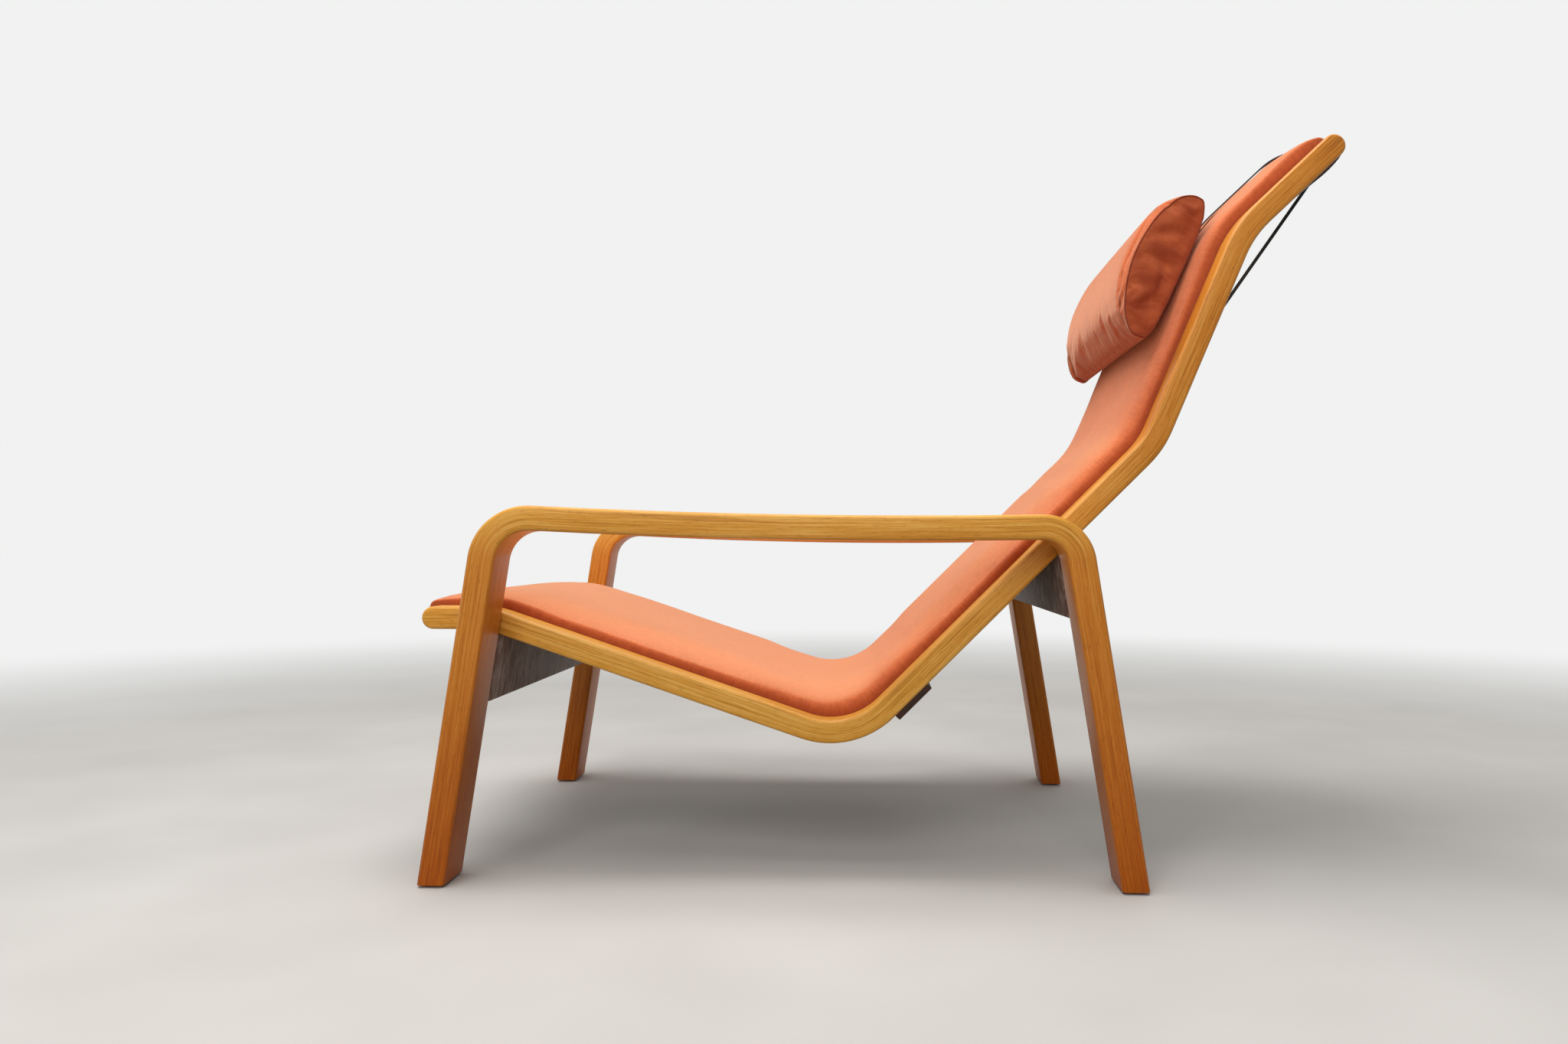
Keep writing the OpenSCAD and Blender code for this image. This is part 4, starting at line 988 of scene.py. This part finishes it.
def pad_loop():
    """The pad's outline down its middle: a point on its widest line, one on its surface and the
    roundness of its section there."""
    nose_s = NOSE_ROLL - NOSE_OVER
    spine = in_rail_frame(NOSE, nose_s, PAD_SIDE)
    loop = []
    for k in range(9):
        a = math.radians(180 - 90 * k / 8)
        out = PAD_NOSE - NOSE_ROLL + NOSE_ROLL * math.sin(a)
        loop.append((spine, in_rail_frame(NOSE, nose_s + NOSE_ROLL * math.cos(a), out), END_SHOULDER))
    lean = math.acos((ROLL_OUT - PAD_HEAD + DROOP) / (DROOP - HEAD_ROLL))
    droop_s = ROLL_S - (DROOP - HEAD_ROLL) * math.sin(lean)
    start, end = nose_s * MM, along_rail(HEAD, droop_s)
    count = round((end - start) / (8 * MM))
    for k in range(1, count + 1):
        along = start + (end - start) * k / count
        loop.append((RAIL.at(along, PAD_SIDE * MM)[0], crown_point(along), softened(SHOULDERS, along)))

    def at_head(s, out):
        return in_rail_frame(HEAD, min(s, ROLL_S), PAD_SIDE), in_rail_frame(HEAD, s, out), END_SHOULDER

    for k in range(1, 9):
        a = lean * k / 8
        loop.append(at_head(droop_s + DROOP * math.sin(a), PAD_HEAD + DROOP * (math.cos(a) - 1)))
    lip_s = LENGTHS[HEAD] - TOP_SLAT_FROM_END + TOP_SLAT_WIDTH / 2 + 1.5
    lip = math.acos((lip_s - ROLL_S) / HEAD_ROLL)
    for k in range(1, 17):
        a = math.pi / 2 - lean - (math.pi / 2 - lean + lip) * k / 16
        loop.append(at_head(ROLL_S + HEAD_ROLL * math.cos(a), ROLL_OUT + HEAD_ROLL * math.sin(a)))
    lip_out = ROLL_OUT - HEAD_ROLL * math.sin(lip)
    for k in range(1, 3):
        loop.append(at_head(lip_s, lip_out + (PAD_LOW - lip_out) * k / 2))
    high, low = along_rail(HEAD, lip_s), (LOW_ROLL - NOSE_OVER) * MM
    count = round((high - low) / (8 * MM))
    for k in range(1, count + 1):
        along = high + (low - high) * k / count
        inner = max(min(along, along_rail(HEAD, ROLL_S)), nose_s * MM)
        surface = RAIL.at(along, PAD_LOW * MM)[0]
        loop.append((RAIL.at(inner, PAD_SIDE * MM)[0], surface, softened(SHOULDERS, along)))
    for k in range(1, 5):
        a = math.radians(270 - 90 * k / 4)
        s = LOW_ROLL * (1 + math.cos(a)) - NOSE_OVER
        loop.append((spine, in_rail_frame(NOSE, s, PAD_LOW + LOW_ROLL * (1 + math.sin(a))), END_SHOULDER))
    loop.append(loop[0])
    return loop


def pad(swell):
    """The slung pad: a crowned form between the rails, blown up a little and held where it is tucked in."""
    loop = pad_loop()
    steps = len(loop) - 1
    slack = swell * 0.8
    slacks = [slack * (1 - in_bend(RAIL.locate(*surface)[0])) for _, surface, _ in loop]

    def place(u, v):
        a = math.pi * (u - 0.5)
        across = math.copysign(abs(math.sin(a)) ** (2 / SHOULDER), a)
        station = round(v * steps)
        spine, surface, roundness = loop[station]
        reach = surface - spine
        share = max(0.0, 1 - abs(across) ** roundness) ** (1 / roundness)
        point = spine + reach * share * (1 - slacks[station] / max(reach.length, 1e-6))
        return (PAD_HALF * MM * across, *point)

    bm = mapped_grid(64, steps, place)
    bmesh.ops.remove_doubles(bm, verts=bm.verts, dist=1e-5)
    obj = as_piece("slung_pad", bm, "wool", ["pad_cover", "pad_foam"], crease=70.0)
    held = []
    for v in obj.data.vertices:
        along, out = RAIL.locate(v.co.y, v.co.z)
        edge = smoothstep(PAD_HALF - 6, PAD_HALF - 1, abs(v.co.x) / MM)
        low = 1.0 - smoothstep(PAD_SIDE, PAD_SIDE + 6, out / MM)
        held.append(max(edge, low, in_bend(along)))
    inflate(obj, held, 6.0, swell)
    steps, cloth, painted_light_tones = [], [], []
    neck = along_rail(MID, LENGTHS[MID] - 50)
    for v in obj.data.vertices:
        along, out = RAIL.locate(v.co.y, v.co.z)
        x, high = abs(v.co.x) / MM, out / MM
        cloth.append((v.co.x, along, out))
        top = smoothstep(PAD_SIDE + 4, PAD_SIDE + 14, high)
        slow = noise.noise(Vector((7 * v.co.x, 9 * along, 1.7)))
        quick = noise.noise(Vector((24 * v.co.x, 30 * along, 5.1)))
        rise = 1.3 * (1 - smoothstep(100, STRAP_IN - 3, x)) * smoothstep(neck, neck + 0.05, along)
        steps.append(top * (0.7 * min(0.0, slow - 0.2) + 0.25 * min(0.0, quick) + rise) * MM)
        # Painted shade darkens the pad's sides down to the rails, and a painted highlight lightens it where
        # it faces up
        side = smoothstep(PAD_HALF - 90, PAD_HALF, x) * (1 - smoothstep(PAD_SIDE - 4, PAD_HEAD, high))
        painted_light_tones.append(0.5 * side - 0.5 * smoothstep(0.4, 0.9, v.normal.z))
    vector_attribute(obj.data, "cloth", cloth)
    painted_light_attribute(obj.data, painted_light_tones)
    normals = [v.normal.copy() for v in obj.data.vertices]
    for v, n, step in zip(obj.data.vertices, normals, steps):
        _, out = RAIL.locate(v.co.y, v.co.z)
        v.co += n * step
        v.co.x *= 1 - 0.009 * math.exp(-((out / MM - PAD_SIDE) / 5) ** 2)


class CHAIR_OT_webbing(bpy.types.Operator):
    """Stretch the webbing bands between the rails"""

    bl_idname = "chair.webbing"
    bl_label = "Webbing"

    def execute(self, context):
        for node, places in band_places().items():
            webbing(node, places)
        return {"FINISHED"}


class CHAIR_OT_pad(bpy.types.Operator):
    """Sew the slung pad and the lining under it"""

    bl_idname = "chair.pad"
    bl_label = "Pad and lining"

    def execute(self, context):
        pad(context.scene.chair_sizes.pad_swell)
        lining()
        return {"FINISHED"}


# Straps and pillow ---------------------------------------------------------------------------------


def strap_facts():
    """Height of a strap's inner face over the rails' rear line, and the share of the pad's height there."""
    share = (1 - (STRAP_IN / PAD_HALF) ** END_SHOULDER) ** (1 / END_SHOULDER)
    return PAD_SIDE + (PAD_HEAD - PAD_SIDE) * share + 0.3 + 0.8 + 0.3, share


STRAP_LOW, STRAP_SHARE = strap_facts()
PILLOW_BACK = STRAP_LOW + STRAP_THICK + 0.3 + 0.8 + 0.05


def strap_line():
    """A strap's inner face: out from behind the pillow, over the head end, down to the strap slat."""
    roll_radius = HEAD_ROLL * STRAP_SHARE + 0.3
    roll_out = PAD_SIDE + (ROLL_OUT - PAD_SIDE) * STRAP_SHARE
    lean = math.acos((roll_out - STRAP_LOW + DROOP) / (DROOP - roll_radius))
    droop_s = ROLL_S - (DROOP - roll_radius) * math.sin(lean)
    neck = tangent(HEAD)
    straight_end = LENGTHS[MID] - neck
    start_s = straight_end - SLIDE_UP - LOOP_LENGTH - SLIDE_DOWN - 2 * LOOP_SPARE
    head, middle = math.radians(HEADINGS[HEAD]), math.radians(HEADINGS[MID])
    bend_centre = in_rail_frame(MID, STRAP_SLAT_END, -STRAP_BEND - 0.3) / MM
    reach = bend_centre - in_rail_frame(HEAD, ROLL_S, roll_out) / MM
    away = math.atan2(reach.y, reach.x) - math.asin((STRAP_BEND + roll_radius) / reach.length)
    line = Line(in_rail_frame(MID, start_s, STRAP_LOW), middle)
    line.go((straight_end - start_s) * MM)
    line.bend((RADII[HEAD] + STRAP_LOW) * MM, turn(HEAD))
    line.go((droop_s - neck) * MM)
    line.bend(DROOP * MM, -lean)
    line.bend(roll_radius * MM, away - (head - lean))
    line.go(math.sqrt(reach.length_squared - (STRAP_BEND + roll_radius) ** 2) * MM)
    line.bend(STRAP_BEND * MM, middle - math.pi - away)
    return line.go(STRAP_END * MM)


def strap(side):
    bm = swept_bar(strap_line(), side, STRAP_IN, STRAP_OUT, 0.0, STRAP_THICK)
    round_edges(bm, 0.6 * MM, 2)
    name = side_name(side)
    as_piece(f"leather_strap_{name}", bm, "leather", [f"strap_{name}"])


def power(value, exponent):
    return math.copysign(abs(value) ** exponent, value)


def pillow_point(angle, scale, end_share):
    """A point of the pillow's outline in the middle back's frame, in millimetres. Towards its end panels
    the pillow is slimmer, leans back and settles."""
    front = math.sin(angle) > 0
    upper = math.cos(angle) > 0
    e = 2 / ((2.1 if upper else 1.7) if front else (3.2 if upper else 5.0))
    waist, full = 0.3 * PILLOW_THICK, PILLOW_FULL * (1 - end_share)
    depth = PILLOW_THICK * (1 + full) - waist if front else waist + PILLOW_DROP * end_share
    along = PILLOW_HALF * (1 + full / 3) * scale * power(math.cos(angle), e)
    out = waist + depth * scale * power(math.sin(angle), e)
    lean = math.radians(PILLOW_TILT) * end_share
    return (
        PILLOW_MID + along * math.cos(lean) + out * math.sin(lean),
        PILLOW_BACK - along * math.sin(lean) + out * math.cos(lean),
    )


# Where along the pillow, how far from its back, how long, how wide and how deep
DIMPLES = (
    (PILLOW_MID - 26, 17, 15, 5, 3.6),
    (PILLOW_MID - 49, 22, 6, 9, 2.6),
    (PILLOW_MID - 4, 20, 7, 8, 2.0),
)


def dimple_depth(along, high):
    """Depth of the end panels' dimples at a place, in millimetres."""
    return sum(
        deep * math.exp(-((along - middle) / long) ** 2 - ((high - level) / wide) ** 2)
        for middle, level, long, wide, deep in DIMPLES
    )


def pillow_crease(co, along, out):
    """Shallow dimples and creases: in the end panels, and where the body slackens below."""
    side, x, high = math.copysign(1.0, co.x), abs(co.x) / MM, out - PILLOW_BACK
    panel = smoothstep(PILLOW_END - 7, PILLOW_END - 2, x) * smoothstep(3.0, 12.0, high)
    u, w = (along - PILLOW_MID) / PILLOW_HALF, high / PILLOW_THICK
    panel *= 1 - smoothstep(0.55, 0.85, abs(u) ** 2 + w ** 2)
    depth = dimple_depth(along, high)
    crease = noise.noise(Vector((0.035 * (along + 0.7 * high), 0.13 * (high - 0.5 * along), 4.0 + side)))
    inward = Vector((-side, 0.0, 0.0)) * panel * (depth + 0.9 * abs(crease)) * MM
    low = (1 - smoothstep(PILLOW_MID - 80, PILLOW_MID, along)) * smoothstep(8.0, 20.0, high)
    slack = noise.noise(Vector((0.02 * x, 0.07 * along, 0.04 * high + side)))
    fold = in_rail_frame(MID, PILLOW_MID, 0.0) - in_rail_frame(MID, PILLOW_MID, 1.0)
    return inward + Vector((0.0, fold.x, fold.y)) * low * (1 - panel) * 0.6 * max(0.0, slack)


def pillow(swell):
    """The head pillow: a flat-backed bolster, blown up and held at its seams and its back."""
    slack = 0.965

    def place(u, v):
        x = (2 * u - 1) * PILLOW_END
        near_seam = smoothstep(0.9, 1.0, abs(2 * u - 1))
        along, out = pillow_point(2 * math.pi * v, slack + (1 - slack) * near_seam, (2 * u - 1) ** 20)
        return (x * MM, *in_rail_frame(MID, along, out))

    bm = mapped_grid(90, 108, place)
    bmesh.ops.remove_doubles(bm, verts=bm.verts, dist=1e-5)
    bmesh.ops.holes_fill(bm, edges=[e for e in bm.edges if e.is_boundary], sides=0)
    bmesh.ops.recalc_face_normals(bm, faces=bm.faces)
    obj = linked("head_pillow", mesh_of(bm, "head_pillow"))
    skin = obj.modifiers.new("even", "REMESH")
    skin.mode, skin.voxel_size = "VOXEL", 3.6 * MM
    keep_modified(obj)
    origin, heading = rail_corner(MID), math.radians(HEADINGS[MID])

    def local(co):
        v = Vector((co.y, co.z)) - origin
        return v.dot(heading_vector(heading)) / MM, v.dot(left_vector(heading)) / MM

    held = []
    for v in obj.data.vertices:
        along, out = local(v.co)
        u, w = (along - PILLOW_MID) / PILLOW_HALF, (out - PILLOW_BACK) / PILLOW_THICK
        rim = max(abs(u) ** 2.4 + abs(max(0.0, w - 0.3) / 0.7) ** 2.4, abs(u), 1 - w / 0.06)
        seam = smoothstep(0.86, 0.97, rim) * smoothstep(PILLOW_END - 9, PILLOW_END - 3, abs(v.co.x) / MM)
        back = 1 - smoothstep(2.0, 9.0, out - PILLOW_BACK)
        held.append(max(seam, back))
    inflate(obj, held, 5.0, swell, shrink=-0.025)
    for v in obj.data.vertices:
        v.co += pillow_crease(v.co, *local(v.co))
    cloth, painted_light_tones = [], []
    for v in obj.data.vertices:
        along, out = local(v.co)
        around = math.atan2(out - PILLOW_BACK - 20, along - PILLOW_MID) * 70
        panel = smoothstep(PILLOW_END - 4, PILLOW_END, abs(v.co.x) / MM)
        across = v.co.x * (1 - panel) + panel * out * MM
        cloth.append((across, (around * (1 - panel) + along * panel) * MM, out * MM))
        # Painted shade: the end panels are darker, more so in their dimples, and so is the body's lower part;
        # the blotches are random tone
        blotch = noise.noise(Vector((0.05 * along, 0.05 * out, 2.0)))
        inner = 0.7 + 0.4 * blotch + 0.12 * dimple_depth(along, out - PILLOW_BACK)
        body = 0.45 * (1 - smoothstep(PILLOW_MID - 95, PILLOW_MID - 30, along))
        painted_light_tones.append(max(0.0, inner) * panel + body * (1 - panel))
    vector_attribute(obj.data, "cloth", cloth)
    painted_light_attribute(obj.data, painted_light_tones)
    obj.data.materials.clear()
    obj.data.materials.append(finish("pillow_wool"))
    smooth(obj.data)
    finer = obj.modifiers.new("finer", "SUBSURF")
    finer.levels = finer.render_levels = 1
    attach(obj, "pillow")
    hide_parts("pillow_cover", "pillow_filling")
    return obj


def piping(thickness, cover):
    """A cord of the cover's cloth, sewn to the cover round each end panel."""
    whole = bmesh.new()
    for side in (1, -1):
        curve = bpy.data.curves.new("piping", "CURVE")
        curve.dimensions = "3D"
        curve.bevel_depth, curve.bevel_resolution = thickness / 2, 3
        count = 120
        spline = curve.splines.new("POLY")
        spline.points.add(count - 1)
        spline.use_cyclic_u = True
        for k, point in enumerate(spline.points):
            along, out = pillow_point(2 * math.pi * k / count, 0.985, 1.0)
            nominal = Vector((side * (PILLOW_END - 0.3) * MM, *in_rail_frame(MID, along, out)))
            _, seam, normal, _ = cover.closest_point_on_mesh(nominal)
            point.co = (*(seam + 0.2 * thickness * normal), 1.0)
        holder = bpy.data.objects.new("piping", curve)
        mesh = bpy.data.meshes.new_from_object(holder)
        whole.from_mesh(mesh)
        bpy.data.objects.remove(holder)
        bpy.data.curves.remove(curve)
        bpy.data.meshes.remove(mesh)
    obj = as_piece(
        "end_panel_piping", whole, "piping", ["pillow_piping"], body="pillow", crease=80.0
    )
    vector_attribute(obj.data, "cloth", [v.co.copy() for v in obj.data.vertices])


class CHAIR_OT_straps(bpy.types.Operator):
    """Lay the two leather straps over the head end, down to the strap slat"""

    bl_idname = "chair.straps"
    bl_label = "Straps"

    def execute(self, context):
        for side in (1, -1):
            strap(side)
        return {"FINISHED"}


class CHAIR_OT_pillow(bpy.types.Operator):
    """Sew the head pillow with its piping and its strap loops"""

    bl_idname = "chair.pillow"
    bl_label = "Pillow"

    def execute(self, context):
        sizes = context.scene.chair_sizes
        piping(sizes.piping, pillow(sizes.pillow_swell))
        loops = bevelled_node(
            "pillow_loops", "sewn_loops", "piping", 0.2 * MM, body="pillow", least=60.0
        )
        vector_attribute(loops.data, "cloth", [v.co.copy() for v in loops.data.vertices])
        return {"FINISHED"}


# Stage ---------------------------------------------------------------------------------------------


BACKDROP, FLOOR_UNSEEN = "#f1f2f1", "#8b8681"
FLOOR_DARK, FLOOR_LIGHT = "#c0bcb7", "#c9c5c0"
FLOOR_HALF, FADE_FROM, FADE_TO = 14.0, 1.2, 4.0
WORLD_LIGHT = 0.38
# Name, place, the point it faces, size in metres and power in watts
LAMPS = (
    ("overhead", (0.3, -0.5, 3.1), (0.0, 0.0, 0.4), 1.8, 76.0),
    ("side_fill", (2.8, -0.6, 2.0), (0.0, 0.0, 0.5), 2.0, 42.0),
    ("rear_fill", (-2.2, 1.4, 2.4), (0.0, 0.0, 0.5), 2.2, 8.0),
)
CAMERA_AT = (1.611, -0.01499, 0.410)
CAMERA_YAW, CAMERA_ROLL = math.radians(-1.25), math.radians(0.19)
CAMERA_LENS, CAMERA_SHIFT = 24.84, (-0.0371, 0.0163)


def soft_light(name, place, aim, size, power):
    """A square lamp of that size that faces a point."""
    data = bpy.data.lights.new(name, "AREA")
    data.size, data.energy = size, power
    lamp = linked(name, data)
    lamp.location = place
    lamp.rotation_euler = (Vector(aim) - Vector(place)).to_track_quat("-Z", "Y").to_euler()


def seen_ray(tree):
    """1 where a ray comes from the camera, or by a mirror or glass, and 0 where it only lights."""
    path = add(tree, "LightPath").outputs
    seen = maths(tree, "MAXIMUM", path["Is Camera Ray"], path["Is Glossy Ray"])
    return maths(tree, "MAXIMUM", seen, path["Is Transmission Ray"])


def pale_floor():
    """A floor that keeps the chair's shadow and, where it is seen, passes into the backdrop further out."""
    bm = bmesh.new()
    bmesh.ops.create_grid(bm, x_segments=1, y_segments=1, size=FLOOR_HALF)
    floor = linked("floor", mesh_of(bm, "floor"))
    made, tree, shader = finish_named("pale_floor")
    place = object_place(tree)
    tone = ramp(tree, noisy(tree, place, 3.0), (0.3, linear(FLOOR_DARK)), (0.7, linear(FLOOR_LIGHT)))
    seen = seen_ray(tree)
    wire(tree, shader, {"Base Color": blend(tree, seen, linear(FLOOR_UNSEEN), tone), "Roughness": 0.8})
    radius = add(tree, "VectorMath", {0: place}, operation="LENGTH").outputs["Value"]
    fade = {"Value": radius, "From Min": FADE_FROM, "From Max": FADE_TO}
    far = add(tree, "MapRange", fade, interpolation_type="SMOOTHSTEP").outputs[0]
    glow = add(tree, "Emission", {"Color": linear(BACKDROP), "Strength": 1.0}).outputs[0]
    far = maths(tree, "MULTIPLY", far, seen)
    surface = add(tree, "MixShader", {0: far, 1: shader.outputs[0], 2: glow}).outputs[0]
    wire(tree, tree.nodes["Material Output"], {"Surface": surface})
    floor.data.materials.append(made)


def soft_world():
    """Even light from all round, which is seen at the backdrop's own colour."""
    world = bpy.data.worlds.new("soft_daylight")
    bpy.context.scene.world = world
    world.use_nodes = True
    tree = world.node_tree
    strength = ranged(tree, seen_ray(tree), 0.0, 1.0, WORLD_LIGHT, 1.0)
    wire(tree, tree.nodes["Background"], {"Color": linear(BACKDROP), "Strength": strength})


def photograph_camera():
    """The camera that was fitted to the photograph."""
    forward = Vector((-math.cos(CAMERA_YAW), math.sin(CAMERA_YAW), 0.0))
    right = Vector((math.sin(CAMERA_YAW), math.cos(CAMERA_YAW), 0.0))
    up = Vector((0.0, 0.0, 1.0))
    across = math.cos(CAMERA_ROLL) * right + math.sin(CAMERA_ROLL) * up
    upward = -math.sin(CAMERA_ROLL) * right + math.cos(CAMERA_ROLL) * up
    data = bpy.data.cameras.new("photograph")
    data.sensor_fit, data.sensor_width, data.lens = "HORIZONTAL", 36.0, CAMERA_LENS
    data.shift_x, data.shift_y = CAMERA_SHIFT
    data.dof.use_dof = False
    camera = linked("photograph", data)
    axes = Matrix((across, upward, -forward)).transposed().to_4x4()
    camera.matrix_world = Matrix.Translation(CAMERA_AT) @ axes
    bpy.context.scene.camera = camera


class CHAIR_OT_stage(bpy.types.Operator):
    """Set the floor, the soft light and the camera at the photograph's angle"""

    bl_idname = "chair.stage"
    bl_label = "Stage"

    def execute(self, context):
        context.scene.view_settings.view_transform = "Standard"
        pale_floor()
        soft_world()
        for lamp in LAMPS:
            soft_light(*lamp)
        photograph_camera()
        return {"FINISHED"}


class CHAIR_PT_parts(bpy.types.Panel):
    """The chair's pieces and its stage"""

    bl_label = "Lounge chair"
    bl_idname = "CHAIR_PT_parts"
    bl_space_type = "VIEW_3D"
    bl_region_type = "UI"
    bl_category = "Lounge chair"

    def draw(self, context):
        for group in (context.scene.chair_sizes, context.scene.chair_colours):
            for name in group.__annotations__:
                self.layout.prop(group, name)
        for operator in OPERATORS:
            self.layout.operator(operator.bl_idname)


OPERATORS = (
    CHAIR_OT_arm_frames,
    CHAIR_OT_boards,
    CHAIR_OT_rails,
    CHAIR_OT_slats,
    CHAIR_OT_fasteners,
    CHAIR_OT_webbing,
    CHAIR_OT_pad,
    CHAIR_OT_straps,
    CHAIR_OT_pillow,
    CHAIR_OT_stage,
)
CLASSES = (ChairSizes, ChairColours, *OPERATORS, CHAIR_PT_parts)


def register():
    for cls in CLASSES:
        bpy.utils.register_class(cls)
    bpy.types.Scene.chair_sizes = PointerProperty(type=ChairSizes)
    bpy.types.Scene.chair_colours = PointerProperty(type=ChairColours)


def unregister():
    del bpy.types.Scene.chair_colours
    del bpy.types.Scene.chair_sizes
    for cls in reversed(CLASSES):
        bpy.utils.unregister_class(cls)


def main():
    register()
    for operator in OPERATORS:
        group, name = operator.bl_idname.split(".")
        getattr(getattr(bpy.ops, group), name)()


if __name__ == "__main__":
    main()
